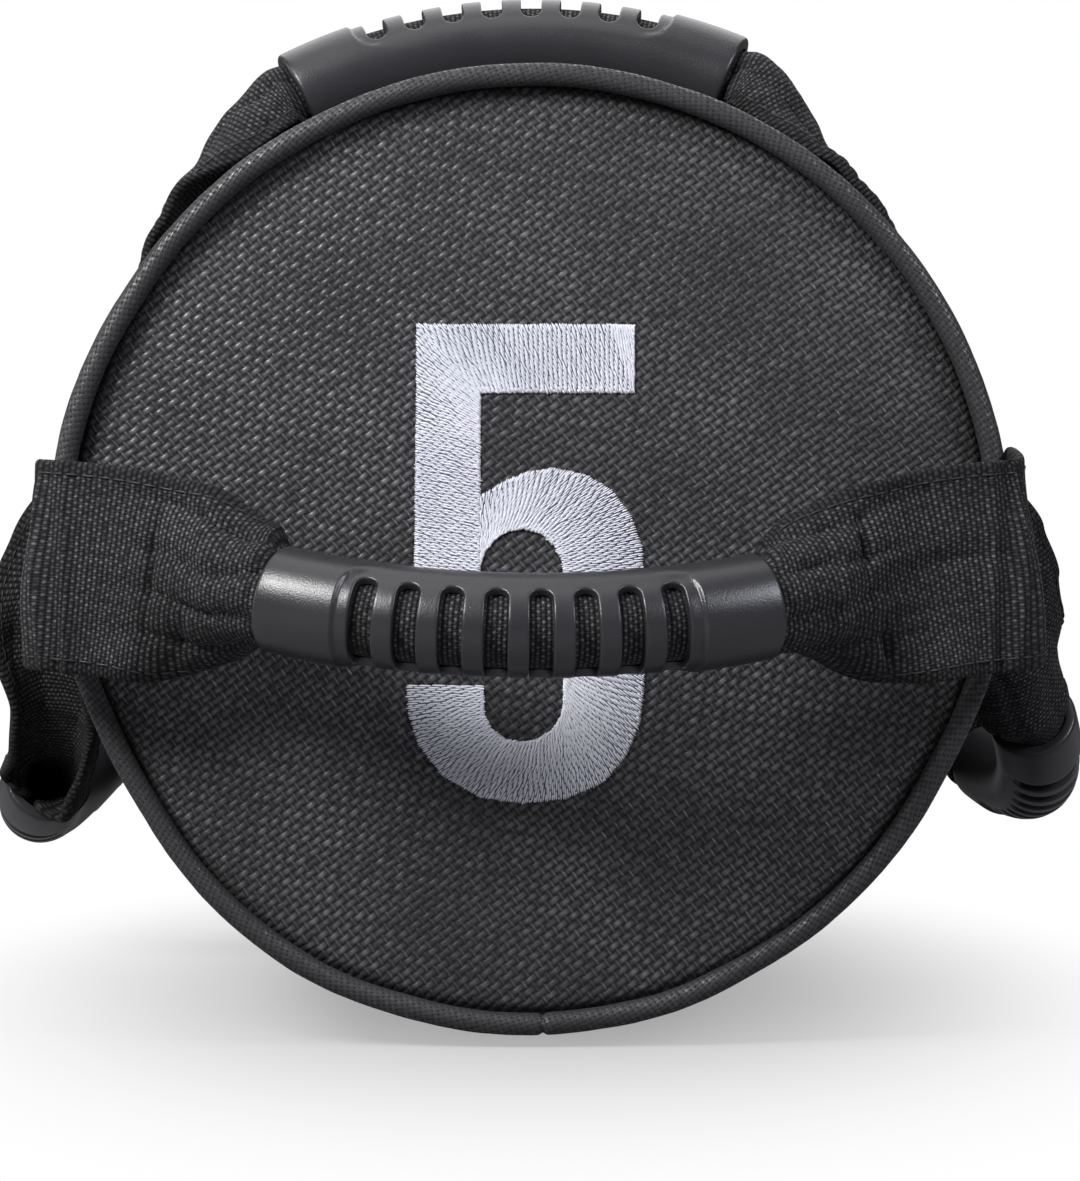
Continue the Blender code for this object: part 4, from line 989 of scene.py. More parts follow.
class Webbing:
    """A strip of webbing along a path, flat at first and rolled up where its curl grows."""

    def __init__(
            self, path, ways, outs, curls, ripple=None, half=WEBBING / 2, thick=THICK,
            columns=21):
        self.columns = columns
        self.path = np.array(path, float)
        self.along = unit(np.gradient(self.path, axis=0))
        ways = np.array(ways, float)
        ways -= self.along * np.sum(ways * self.along, axis=1, keepdims=True)
        self.ways = unit(ways)
        self.outs = np.cross(self.along, self.ways)
        flip = np.sum(self.outs * np.array(outs, float), axis=1) < 0
        self.outs[flip] *= -1
        self.curls = np.array(curls, float)
        self.ripple = ripple or (lambda share, a: 0.0)
        self.half, self.thick = half, thick
        self.run = lengths_along(self.path)

    def point(self, row, a, lift):
        """At a metres across the strip, lifted off its middle layer; returns place and normal."""
        curl = self.curls[row]
        if abs(curl) > 1e-6:
            a = a * min(1.0, ROLL_SHARE * pi / abs(curl) / self.half)
        x = curl * a
        side = a * np.sinc(x / pi)
        fall = a * sin(x / 2) * np.sinc(x / 2 / pi)
        normal = self.outs[row] * cos(x) + self.ways[row] * sin(x)
        share = self.run[row] / self.run[-1]
        place = self.path[row] + self.ways[row] * side - self.outs[row] * fall
        return place + normal * (lift + self.ripple(share, a)), normal

    def piece(self, name, material=WEBBING_CLOTH, start=0.0):
        """The strip as a closed mesh with rounded selvedges; start is where its weave begins."""
        bulge = self.thick / 2
        flat_half = self.half - bulge
        rounding = [self.half - bulge * (1 - sin(t)) for t in (0, 0.5, 1.0, 1.35)]
        profile = []
        for a in flanked(np.linspace(-1, 1, self.columns)[1:-1] * flat_half, rounding):
            past = abs(a) - flat_half
            height = sqrt(max(1 - (past / bulge) ** 2, 0.04)) if past > 0 else 1.0
            profile.append((a, height * bulge))
        loop = profile + [(a, -height) for a, height in profile[::-1]]
        points, uvs = [], []
        rows = len(self.path)
        for row in range(rows):
            for k, (a, lift) in enumerate(loop + loop[:1]):
                place, _ = self.point(row, a, lift)
                points.append(place)
                across = a if k < len(profile) else 2 * self.half - a
                uvs.append((across, start + self.run[row]))
        return skin(name, points, capped_faces(rows, len(loop) + 1), uvs, material)

    def line(self, a, last):
        """Places and normals along the strip's outer face at a metres across, up to row last."""
        return zip(*[self.point(row, a, self.thick / 2) for row in range(last)])


def sewn_end(name, node, start, end, is_round):
    """Webbing sewn flat on the barrel: start and end are (y, angle) of its middle line."""
    rows = 25
    along_bag = Vector((0, 1, 0))
    path, ways, outs = [], [], []
    for k in range(rows):
        share = k / (rows - 1)
        y = start[0] + (end[0] - start[0]) * share
        angle = start[1] + (end[1] - start[1]) * share
        path.append(barrel_place(y, angle, SEWN_SEAT + THICK / 2))
        out = Vector((sin(angle), 0, cos(angle)))
        ways.append(along_bag if is_round else out.cross(along_bag))
        outs.append(out)
    curl = 0.0 if is_round else 1 / (barrel_radius(*start) + SEWN_SEAT + THICK / 2)
    strip = Webbing(path, ways, outs, [curl] * rows, weave_ripple)
    made = strip.piece(name)
    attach(made, "bag")
    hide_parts(node)
    # A box with a cross in it, whose two short sides are sewn twice.
    wide = WEBBING / 2 - 0.0035
    long = strip.run[-1]
    low, high = 0.0045, long - 0.0045
    twice = 0.003
    shape = [
        [(-wide, low), (wide, low)], [(wide, low), (wide, high)], [(wide, high), (-wide, high)],
        [(-wide, high), (-wide, low)], [(-wide, low), (wide, high)], [(wide, low), (-wide, high)],
        [(-wide + twice, low + twice), (wide - twice, low + twice)],
        [(wide - twice, high - twice), (-wide + twice, high - twice)]]
    edges = []
    for (a0, s0), (a1, s1) in shape:
        places, normals = [], []
        for share in np.linspace(0, 1, 25):
            a = a0 + (a1 - a0) * share
            row = (s0 + (s1 - s0) * share) / long * (rows - 1)
            low_row = min(int(row), rows - 2)
            p0, n0 = strip.point(low_row, a, THICK / 2)
            p1, n1 = strip.point(low_row + 1, a, THICK / 2)
            part = row - low_row
            places.append(p0 + (p1 - p0) * part)
            normals.append(n0 + (n1 - n0) * part)
        edges += stitches_along(places, normals)
    sewing = rods(name + "_stitches", edges, BLACK_THREAD, THREAD_RADIUS, arch=0.0003)
    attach(sewing, "bag")


def weave_ripple(share, a):
    """The slight waviness of heavy webbing that is sewn down."""
    return 0.00012 * noise.noise(Vector((share * 9, a * 160, 3.0)))


def between(keys, shares):
    """Directions along a strip, each turned smoothly from one (share, direction) to the next."""
    places = np.array([place for place, _ in keys])
    held = np.array([tuple(direction) for _, direction in keys], float)
    rows = []
    for share in shares:
        k = int(np.clip(np.searchsorted(places, share) - 1, 0, len(keys) - 2))
        turned = ease((share - places[k]) / (places[k + 1] - places[k]))
        rows.append(held[k] * (1 - turned) + held[k + 1] * turned)
    return np.array(rows)


def leg(
        name, body, bow, end, points, ways, outs, gather, folds, seed, ruffle=0.0006, hollow=1,
        pleats=0.0008):
    """Free webbing from its sewn edge into one mouth of a grip, which the handle carries.

    ways and outs are (share of its length, direction) for its width and for its outer face.
    folds are (share, share's width, height, slope, place across, reach across). Its width gathers
    between the two shares in gather, and is hollow towards its outer face where hollow is -1.
    """
    start, full = gather
    rows = 130
    inside = 0.006  # the strip runs this far into the grip
    row_inset = 0.0032  # its two rows of stitches lie this far from its edges
    sewn_share = 0.86  # and end before the mouth
    pinch_reach = 0.0045  # the webbing closes to its roll this far before the mouth
    mouth_bend = end * GRIP_HALF
    deep_bend = end * (GRIP_HALF - inside / CURVE)
    mouth = bow.place(mouth_bend, hollow * ROLL)
    deep = bow.place(deep_bend, hollow * ROLL)
    arriving = (deep - mouth).normalized()
    straight = [mouth - arriving * 0.008, mouth - arriving * 0.003, mouth, deep]
    path = smooth_path(list(points) + straight, rows)
    run = lengths_along(path)
    to_mouth = run[-1] - inside - run
    share = 1 - np.clip(to_mouth / (run[-1] - inside), 0, 1)
    tip_way = bow.across if bow.across.dot(Vector(ways[0][1])) > 0 else -bow.across
    ways = between(list(ways) + [(0.95, tip_way)], share)
    outs = between(list(outs) + [(0.95, bow.out(mouth_bend))], share)
    curls = ease((share - start) / (full - start)) / MOUTH_CURL
    pinch = ease(1 - to_mouth / pinch_reach)
    curls = hollow * (curls * (1 - pinch) + pinch / ROLL)

    def ripple(at, a):
        """Lift of the strip's surface: its folds, drawn pleats, wavy edges and small dents."""
        lift = 0.0
        for place, width, height, slope, middle, reach in folds:
            lift += height * exp(-((at + slope * a - place) / width) ** 2 - ((a - middle) / reach) ** 2)
        free = float(ease(at / 0.15) * (1 - ease((at - 0.90) / 0.08)))
        drawn = float(ease((at - start * 0.7) / 0.35)) * free
        turn = a * 300 + seed + 1.4 * noise.noise(Vector((at * 5, a * 60, seed)))
        lift += drawn * pleats * (1 - 2.4 * (1 - abs(sin(turn))) ** 2)
        lift += ruffle * sin(at * 34 + a * 60 + seed) * (2 * a / WEBBING) ** 2 * free
        return lift + 0.0009 * noise.noise(Vector((at * 6, a * 45, seed + 9))) * free

    strip = Webbing(path, ways, outs, curls, ripple, columns=39)
    made = strip.piece(name, start=0.05)
    edges = []
    for side in (-1, 1):
        edges += stitches_along(*strip.line(side * (WEBBING / 2 - row_inset), int(rows * sewn_share)))
    sewing = rods(name + "_stitches", edges, BLACK_THREAD, THREAD_RADIUS * 0.8, arch=0.0002)
    for piece in (made, sewing):
        tuple(points[0])
        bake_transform(piece)
    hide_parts(body.replace("_handle", "_loop"))


def handle(body, bow, master):
    """The grip and the rolled webbing inside it, both carried by the handle."""
    base = body.replace("_handle", "")
    mesh = master.data.copy()
    mesh.transform(bow.matrix())
    grip = in_scene(base + "_moulded_grip", mesh)
    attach(grip, body)
    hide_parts(base + "_grip")
    rows = 40
    reach = GRIP_HALF - 0.035  # the straps bring their own webbing through each mouth
    bends = np.linspace(-reach, reach, rows)
    path = [bow.place(bend, ROLL) for bend in bends]
    outs = [bow.out(bend) for bend in bends]
    roll = Webbing(path, [bow.across] * rows, outs, [1 / ROLL] * rows)
    made = roll.piece(base + "_rolled_webbing")
    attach(made, body)
    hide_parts(base + "_loop")


# Folds of the end straps: a broad bulge and three ridges at the turn, then each side's own
# creases and pleats
TURN_FOLDS = (
    (0.345, 0.080, 0.0032, 0.0, -0.005, 0.017), (0.352, 0.009, 0.0011, 1.1, 0.0, 0.1),
    (0.384, 0.010, -0.0009, 1.2, 0.0, 0.1), (0.415, 0.009, 0.0010, 0.9, 0.0, 0.1))
LEFT_FOLDS = TURN_FOLDS + (
    (0.63, 0.012, -0.0016, 0.6, 0.003, 0.013), (0.60, 0.05, 0.0010, 2.0, -0.004, 0.03),
    (0.74, 0.018, -0.0010, -2.5, -0.014, 0.010), (0.80, 0.03, 0.0008, 3.0, 0.010, 0.012))
RIGHT_FOLDS = TURN_FOLDS + (
    (0.72, 0.013, -0.0030, 1.8, 0.0110, 0.0055), (0.69, 0.012, -0.0026, -1.0, -0.0150, 0.0045),
    (0.56, 0.16, -0.0013, 0.0, 0.0030, 0.0024), (0.55, 0.14, 0.0009, 0.0, 0.0085, 0.0040),
    (0.66, 0.10, -0.0010, 0.0, -0.0075, 0.0022), (0.78, 0.02, 0.0010, 2.0, 0.001, 0.012))


def end_handle(place, facing, slip, roll, master):
    """slip and roll are how far the grip has slid left and how much its right tip hangs lower."""
    body = f"{place}_end_handle"
    droop = radians(25)
    ahead_of_panel, below_axis = 0.035, 0.0135
    middle = (-slip, facing * (HALF_LENGTH + ahead_of_panel), AXIS_HEIGHT - below_axis)
    bow = Bow(middle, (cos(roll), 0, -sin(roll)), (0, facing * cos(droop), -sin(droop)))
    handle(body, bow, master)
    for side_name, side in SIDES:
        angle = side * END_ANGLE
        edge = facing * END_FOLD_Y
        sewn_end(
            f"{place}_end_{side_name}_sewn_webbing", f"{place}_end_sewn_{side_name}",
            (edge, angle), (facing * (END_FOLD_Y - END_SEWN_LENGTH), angle), False)
        fold = barrel_place(edge, angle, SEWN_SEAT + THICK / 2)

        def at(out, ahead, up=0.0):
            return fold + Vector((side * out, facing * ahead, up))

        rise = 0.0035 if side > 0 else 0.0
        points = [
            fold, at(0.0002, 0.003), at(0.0006, 0.011, rise), at(0.0012, 0.021, rise),
            at(0.0014, 0.0300, rise / 3), at(0.0006, 0.0345), at(-0.0040, 0.0372, -0.0003),
            at(-0.0150, 0.0405, -0.0012), at(-0.0300, 0.0440, -0.0040)]
        # The turn leans, so that the strap's lower corner stands further out than its upper one.
        outward = (side, 0, 0)
        ways = ((0.0, (0, 0, 1)), (0.30, (-side * 0.09, 0, 1)), (0.55, (0, 0, 1)))
        leg(
            f"{place}_end_{side_name}_webbing", body, bow, side, points, ways, ((0.3, outward),),
            (0.60, 1.0), RIGHT_FOLDS if side > 0 else LEFT_FOLDS, 1.3 * side + 4 * facing)


# Middle line of a top strap between its sewn end and its grip: degrees from the top, radius.
# The right strap of the front handle is slack and drops sooner.
TOP_ROUTE = ((51.5, 0.1230), (47.5, 0.1252), (43.5, 0.1277), (39.5, 0.1302), (35.2, 0.1327))
SLACK_ROUTE = ((51.5, 0.1226), (47.5, 0.1233), (43.3, 0.1247), (39.3, 0.1272), (36.0, 0.1308))
TOP_FOLDS = (
    (0.34, 0.06, 0.0005, 3.0, -0.010, 0.014), (0.50, 0.05, -0.0008, -3.0, -0.006, 0.012),
    (0.64, 0.05, 0.0008, 4.0, -0.012, 0.010), (0.56, 0.05, 0.0007, 3.0, 0.010, 0.012))


def top_handle(place, facing, lean, tilt, master):
    """The grip's collars rest on the barrel; lean turns it round the bag, tilt rolls it back."""
    body = f"{place}_top_handle"
    y = facing * TOP_Y
    clear = 0.0006
    tip_reach = CURVE * sin(GRIP_HALF)
    seat_radius = barrel_radius(TOP_Y - COLLAR, 0.0) + COLLAR + clear
    tip_height = sqrt(seat_radius ** 2 - tip_reach ** 2)
    up = Vector((sin(lean), 0, cos(lean)))
    chord = Vector((cos(lean), 0, -sin(lean)))
    bowed = up * cos(tilt) - Vector((0, facing * sin(tilt), 0))
    bow = Bow(Vector((0, y, AXIS_HEIGHT)) + up * tip_height, chord, bowed)
    handle(body, bow, master)
    for side_name, side in SIDES:
        high = lean + side * TOP_HIGH
        low = lean + side * TOP_LOW
        sewn_end(
            f"{place}_top_{side_name}_sewn_webbing", f"{place}_top_sewn_{side_name}",
            (y, high), (y, low), True)
        fold = barrel_place(y, high, SEWN_SEAT + THICK / 2)
        points = [fold]
        for degrees_down, radius in SLACK_ROUTE if facing < 0 < side else TOP_ROUTE:
            points.append(round_bag(radius, lean + side * radians(degrees_down), y))
        out = (sin(high), 0, cos(high))
        leg(
            f"{place}_top_{side_name}_webbing", body, bow, side, points,
            ((0.3, (0, 1, 0)),), ((0.3, out),), (0.30, 1.0), TOP_FOLDS, 2.1 * side + 7 * facing,
            ruffle=0.0003)


# The two straps of a side handle turn over as they hang down, so that their outer face comes to
# look away from the grip. The left ones fold into a gutter, the right ones lie flatter.
# A route is (out, inward, share of the drop to the grip's mouth).
SIDE_ROUTES = {
    -1: ((0.0020, 0.006, 0.04), (0.0045, 0.013, 0.13), (0.0070, 0.021, 0.26), (0.0090, 0.029, 0.42),
         (0.0110, 0.036, 0.59), (0.0130, 0.043, 0.76)),
    1: ((0.0020, 0.006, 0.06), (0.0045, 0.012, 0.20), (0.0075, 0.018, 0.37), (0.0100, 0.025, 0.53),
        (0.0140, 0.032, 0.67), (0.0195, 0.040, 0.81), (0.0250, 0.047, 0.93))}
SIDE_TURNS = {
    -1: ((0.30, 0.28, 0.95), (0.50, 0.62, 0.75), (0.72, 1.0, 0.20)),
    1: ((0.25, 0.32, 0.94), (0.42, 0.72, 0.66), (0.62, 1.0, 0.20))}
SIDE_GATHER = {-1: (0.10, 0.70), 1: (0.16, 0.95)}
SIDE_FOLDS = (
    (0.28, 0.040, 0.0013, 2.0, -0.014, 0.014), (0.40, 0.035, -0.0010, 3.0, -0.010, 0.014),
    (0.56, 0.050, -0.0009, -3.0, 0.006, 0.012), (0.70, 0.030, 0.0010, 3.0, -0.006, 0.012))


def side_handle(place, side, out, drop, tilt, pitch, master):
    """The grip hangs out from the barrel and drops below its axis; pitch lowers its rear tip."""
    body = f"{place}_side_handle"
    bow = Bow(
        (side * (BELLY_RADIUS + out), 0, AXIS_HEIGHT - drop), (0, cos(pitch), -sin(pitch)),
        (side * sin(tilt), 0, -cos(tilt)))
    handle(body, bow, master)
    angle = side * SIDE_ANGLE
    for end_name, end in ENDS:
        edge = end * SIDE_FOLD_Y
        sewn_end(
            f"{place}_side_{end_name}_sewn_webbing", f"{place}_side_sewn_{end_name}",
            (edge, angle), (end * (SIDE_FOLD_Y + SIDE_SEWN_LENGTH), angle), False)
        fold = barrel_place(edge, angle, SEWN_SEAT + THICK / 2)
        drop_to = bow.place(end * GRIP_HALF, side * ROLL).z - fold.z
        points = [fold, fold + Vector((side * 0.0006, -end * 0.0025, 0))]
        for sideways, inward, share in SIDE_ROUTES[side]:
            points.append(fold + Vector((side * sideways, -end * inward, share * drop_to)))
        ways = [(0.04, (0, 0, 1))]
        ways += [(share, (side * across, 0, up)) for share, across, up in SIDE_TURNS[side]]
        leg(
            f"{place}_side_{end_name}_webbing", body, bow, end, points, ways,
            ((0.1, (side, 0, 0)), (0.5, (side * 0.5, end, -0.5))), SIDE_GATHER[side], SIDE_FOLDS,
            3.3 * side + 5 * end, ruffle=0.0003, hollow=side, pleats=0.0004)


# Zip


def beveled(piece, width):
    """Rounds the piece's sharp edges for good."""
    rounder = piece.modifiers.new("rounding", "BEVEL")
    rounder.width = width
    rounder.segments = 2
    rounder.limit_method = "ANGLE"
    rounder.angle_limit = radians(35)
    mesh = applied(piece, rounder)
    mesh.shade_smooth()
    mesh.set_sharp_from_angle(angle=radians(40))


def prisms(name, blocks, material):
    """One piece from (outline in x and y, low z, high z) blocks."""
    points, faces = [], []
    for outline, low, high in blocks:
        size = len(outline)
        base = len(points)
        points += [(x, y, z) for z in (low, high) for x, y in outline]
        faces.append(tuple(base + k for k in reversed(range(size))))
        faces.append(tuple(base + size + k for k in range(size)))
        faces += [
            (base + k, base + (k + 1) % size, base + size + (k + 1) % size, base + size + k)
            for k in range(size)]
    return skin(name, points, faces, [(p[0], p[1]) for p in points], material)


def rounded_outline(half_x, front, rear, corner, steps=4):
    """A rectangle with round corners, anticlockwise."""
    outline = []
    for sx, cy, start in (
            (1, rear - corner, 0), (-1, rear - corner, 90), (-1, front + corner, 180),
            (1, front + corner, 270)):
        for k in range(steps + 1):
            turn = radians(start + 90 * k / steps)
            outline.append((sx * (half_x - corner) + corner * cos(turn), cy + corner * sin(turn)))
    return outline


def zip_tape(name, side):
    """One of the two tapes, bent to the barrel under the slit."""
    inner, outer, thick = 0.0013, 0.0173, 0.0008
    rows = 40
    middle = (inner + outer) / 2
    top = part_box("zip_tape_left")[1]
    radius = top.z - AXIS_HEIGHT
    height = AXIS_HEIGHT + sqrt(radius ** 2 - middle ** 2) - thick / 2
    path = [Vector((side * middle, y, height)) for y in np.linspace(-top.y, top.y, rows)]
    out = Vector((side * middle, 0, radius)).normalized()
    strip = Webbing(
        path, [Vector((0, 1, 0)).cross(out)] * rows, [out] * rows, [1 / radius] * rows,
        half=(outer - inner) / 2, thick=thick)
    tape = strip.piece(f"{name}_zip_tape", ZIP_TAPE)
    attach(tape, "bag")
    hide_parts(f"zip_tape_{name}")


def zip_coil(name, side):
    """One half of the coil, turn by turn, and the stitches that hold it and the tape."""
    pitch = 0.0015
    back, nose = 0.0033, -0.0010  # a turn runs from its back to just past the middle line
    low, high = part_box("zip_teeth_left")
    level = low.z + 0.0006
    offset = 0.25 if side < 0 else 0.75
    edges = []
    for k in range(int((high.y - low.y) / pitch)):
        y = low.y + (k + offset) * pitch
        edges.append(((side * back, y, level), (side * nose, y + 0.0001, level), (0, 0, 1)))
    coil = rods(
        f"{name}_zip_coil", edges, ZIP_NYLON, 0.00048, arch=0.0006, end_share=0.8, points=7,
        sides=6)
    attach(coil, "bag")
    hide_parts(f"zip_teeth_{name}")
    edges = []
    for x in (0.0022, 0.0031):
        z = high.z - 0.0001 - (x - 0.0022) * 0.2
        line = [(side * x, y, z) for y in np.linspace(low.y, high.y, 60)]
        edges += stitches_along(line, [(0, 0, 1)] * 60, 0.0024, 0.0006)
    sewn_to = SLIT_HALF + 0.001
    for x in (0.0118, 0.0128):
        ys = np.linspace(-sewn_to, sewn_to, 90)
        line = [barrel_point(y, side * x / BELLY_RADIUS, 0) for y in ys]
        edges += stitches_along(line, [(0, 0, 1)] * 90)
    sewing = rods(f"{name}_zip_stitches", edges, BLACK_THREAD, 0.00028, arch=0.0002)
    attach(sewing, "bag")


def zip_stop(name):
    low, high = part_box(f"zip_{name}_stop")
    outline = rounded_outline(high.x, low.y, high.y, 0.0007)
    stop = prisms(f"{name}_zip_stop", [(outline, low.z, high.z)], ZIP_METAL)
    beveled(stop, 0.0004)
    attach(stop, "bag")
    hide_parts(f"zip_{name}_stop")


def zip_fastener():
    for name, side in SIDES:
        zip_tape(name, side)
    for name, side in SIDES:
        zip_coil(name, side)
    for name, _ in ENDS:
        zip_stop(name)
    slit_welt()
    zip_slider()
    zip_pull()


def slit_welt():
    """The cloth turned under along the slit, as a soft round edge."""
    half_wide, half_high, raised = 0.0013, 0.0009, 0.0001
    sides = 12
    straight = SLIT_HALF - SLIT_HALF_WIDTH
    rim = []
    for end in (1, -1):
        for k in range(sides + 1):
            turn = pi * k / sides
            x = end * SLIT_HALF_WIDTH * cos(turn)
            rim.append((x, end * (straight + SLIT_HALF_WIDTH * sin(turn))))
        ys = np.linspace(end * straight, -end * straight, 70)[1:-1]
        rim += [(-end * SLIT_HALF_WIDTH, y) for y in ys]
    rim.append(rim[0])
    run = lengths_along(rim)
    points, uvs = [], []
    for k, (x, y) in enumerate(rim):
        ahead = rim[(k + 1) % (len(rim) - 1)]
        behind = rim[k - 1 if k else -2]
        way = Vector((ahead[0] - behind[0], ahead[1] - behind[1], 0)).normalized()
        outward = Vector((way.y, -way.x, 0))
        base = barrel_point(y, x / BELLY_RADIUS, 0.5)
        for turn in around(sides):
            rise = Vector((0, 0, half_high * sin(turn) + raised))
            points.append(base + outward * (half_wide * cos(turn)) + rise)
            uvs.append((0.0011 * turn, run[k]))
    made = skin("slit_edge", points, grid_faces(len(rim), sides + 1), uvs, COATED)
    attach(made, "bag")


def zip_slider():
    """Two waisted plates, the divider and flanges between them, and the bridge for the pull."""
    low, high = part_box("zip_slider")
    plate, narrow = 0.0012, 0.0043
    plate_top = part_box("zip_teeth_left")[1].z + 0.0003 + plate
    tape_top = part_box("zip_tape_left")[1].z
    middle = (low.y + high.y) / 2
    outline = []
    for x, y in rounded_outline(high.x, low.y, high.y, 0.0022, 5):
        waist = float(ease((y - middle) / (high.y - middle)))
        outline.append((x * (1 + (narrow / high.x - 1) * waist), y))
    divider = rounded_outline(0.0009, low.y + 0.0003, low.y + 0.0035, 0.0004)
    flange = rounded_outline(0.0006, low.y + 0.0008, middle, 0.0005)
    blocks = [
        (outline, plate_top - plate, plate_top), (outline, low.z, low.z + plate),
        (divider, low.z + plate / 2, plate_top - plate / 2)]
    for side in (-1, 1):
        placed = [(side * narrow + x, y) for x, y in flange]
        blocks.append((placed, tape_top + 0.0003, plate_top - plate / 2))
    made = prisms("zip_slider_body", blocks, ZIP_METAL)
    beveled(made, 0.00035)
    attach(made, "slider")
    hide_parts("zip_slider")
    # The bridge is a bent strip over the top plate: (half length, height) from foot to middle.
    rows = 40
    top = high.z - 0.0005
    half_bridge = (
        (0.0050, plate_top - 0.0005), (0.0050, plate_top + 0.0012), (0.0046, top), (0.0034, top))
    spine = [(0, middle - y, z) for y, z in half_bridge]
    spine += [(0, middle + y, z) for y, z in half_bridge[::-1]]
    path = smooth_path(spine, rows)
    away = path - np.array((0, middle, plate_top))
    strip = Webbing(path, [(1, 0, 0)] * rows, away, [0.0] * rows, half=0.0012, thick=0.0010)
    bridge = strip.piece("zip_slider_bridge", ZIP_METAL)
    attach(bridge, "slider")


def zip_pull():
    """A flat tab that narrows to its tip, with a window for the bridge."""
    low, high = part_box("zip_pull")
    near, tip = low.y, high.y
    window_end = near + 0.0100
    narrowing = 0.42
    outer = []
    for x, y in rounded_outline(high.x, near, tip, 0.0018, 5):
        share = float(ease((y - window_end) / (tip - window_end)))
        outer.append((x * (1 - narrowing * share), y))
    inner = rounded_outline(0.0027, near + 0.0016, window_end, 0.0009, 5)
    size = len(outer)
    points = [(x, y, z) for z in (low.z, high.z) for ring in (outer, inner) for x, y in ring]
    faces = []
    for k in range(size):
        j = (k + 1) % size
        faces.append((k, j, size + j, size + k))
        faces.append((2 * size + k, 3 * size + k, 3 * size + j, 2 * size + j))
        faces.append((k, 2 * size + k, 2 * size + j, j))
        faces.append((size + k, size + j, 3 * size + j, 3 * size + k))
    pull = skin("zip_pull_tab", points, faces, [(p[0], p[1]) for p in points], ZIP_METAL)
    beveled(pull, 0.0003)
    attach(pull, "pull_tab")
    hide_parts("zip_pull")


# Filling


def lathe(name, rings, material):
    """A solid body round the bag's axis from (y, radius) rings."""
    sides = 72
    run = lengths_along(rings)
    points, uvs = [], []
    for (y, radius), length in zip(rings, run):
        for angle in around(sides):
            points.append(round_bag(radius, angle, y))
            uvs.append((0.05 * angle, length))
    made = skin(name, points, capped_faces(len(rings), sides + 1), uvs, material)
    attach(made, "bag")
    return made


def foam_pad(place):
    """The foam disc behind one end panel, with soft edges."""
    low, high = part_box(f"{place}_end_pad")
    radius = high.x - 0.0004
    hub, edge = 0.004, 0.004
    near, far = sorted((low.y, high.y), key=abs)
    corner = 0.003 * (1 if far > 0 else -1)
    pad = lathe(f"{place}_foam_pad", [
        (near, hub), (near, radius - edge), (near + corner / 3, radius - 0.001),
        (near + corner, radius), (far - corner, radius), (far - corner / 3, radius - 0.001),
        (far, radius - edge), (far, hub)], FOAM)
    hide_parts(f"{place}_end_pad")


def filling_sleeve():
    """Textile filling between the barrel's cloth and the pouch, a little lumpy outside."""
    rows, sides = 60, 120
    bore, below_cloth, lumps = 0.0475, 0.0010, 0.0012
    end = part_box("filler_padding")[1].y
    under_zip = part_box("zip_slider")[0].z - 0.0006
    points, uvs = [], []
    ys = np.linspace(-end, end, rows)
    for j, y in enumerate(np.concatenate((ys, ys[::-1], ys[:1]))):
        outside = j < rows or j == 2 * rows
        for angle in around(sides):
            uvs.append((angle * 0.1, y))
            if not outside:
                points.append(round_bag(bore, angle, y))
                continue
            lump = noise.noise(Vector((sin(angle) * 4, y * 40, cos(angle) * 4)))
            lift = -CLOTH - below_cloth - lumps * (0.5 + 0.5 * lump)
            point = round_bag(barrel_radius(min(max(y, -0.235), 0.235), angle) + lift, angle, y)
            point.z = max(point.z, -lift)
            if abs(point.x) < 0.019 and abs(y) < 0.139 and cos(angle) > 0:
                point.z = min(point.z, under_zip)
            points.append(point)
    faces = grid_faces(2 * rows + 1, sides + 1)
    sleeve = skin("filling_sleeve", points, faces, uvs, TEXTILE)
    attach(sleeve, "bag")
    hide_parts("filler_padding")


def sand_pouch():
    """The inner bag with its neck, and the sand in it."""
    low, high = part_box("sand_pouch")
    front, mouth, wall = low.y, high.y, 0.001
    rear = mouth - 0.020
    belly = 0.0465

    def outline(inset, neck):
        rings = [
            (front + inset, 0.004), (front + inset, 0.028), (front + inset + 0.003, 0.038 - inset),
            (front + 0.012, belly - 0.001 - inset), (front + 0.03, belly - inset),
            (rear - 0.03, belly - inset), (rear - 0.012, belly - 0.003 - inset),
            (rear - 0.003 - inset, 0.036 - inset), (rear - inset, 0.022 - inset)]
        if not neck:
            return rings + [(rear - inset, 0.004)]
        return rings + [
            (rear + 0.004, 0.0155 - inset), (rear + 0.010, 0.0142 - inset), (mouth, 0.0148 - inset)]

    pouch = lathe("sand_bag", outline(0, True) + outline(wall, True)[::-1], POUCH_CLOTH)
    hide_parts("sand_pouch")
    sand = lathe("loose_sand", outline(wall + 0.0004, False), SAND)
    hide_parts("sand_fill")


def filling():
    for place, _ in ENDS:
        foam_pad(place)
    filling_sleeve()
    sand_pouch()
    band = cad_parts["pouch_closure"]
    band.data.materials.clear()
    band.data.materials.append(BAND)


# Stage: a white room that keeps only the bag's soft shadow


WHITE = (1, 1, 1, 1)
LAMPS = (  # name, place, aim, size, watts, colour
    ("key", (-0.50, -0.72, 0.62), (-0.03, -0.27, 0.14), 0.28, 9.5, "#ffffff"),
    ("top", (-0.10, -0.45, 1.40), (0, -0.15, 0.12), 0.85, 3, "#ffffff"),
    ("fill", (0.80, -0.80, 0.66), (0, -0.25, 0.12), 0.35, 6, "#f4f6ff"),
    ("back", (0.0, 0.75, 1.35), (0, -0.10, 0.0), 1.7, 18, "#ffffff"),
    ("rim", (-1.30, 0.0, 0.45), (0, 0, 0.12), 0.6, 3, "#ffffff"))
CAMERA_AWAY = 1.25
CAMERA_LENS = 126.6
CAMERA_DOWN = 0.64  # degrees below level
CAMERA_RIGHT = 0.11  # degrees off the bag's axis


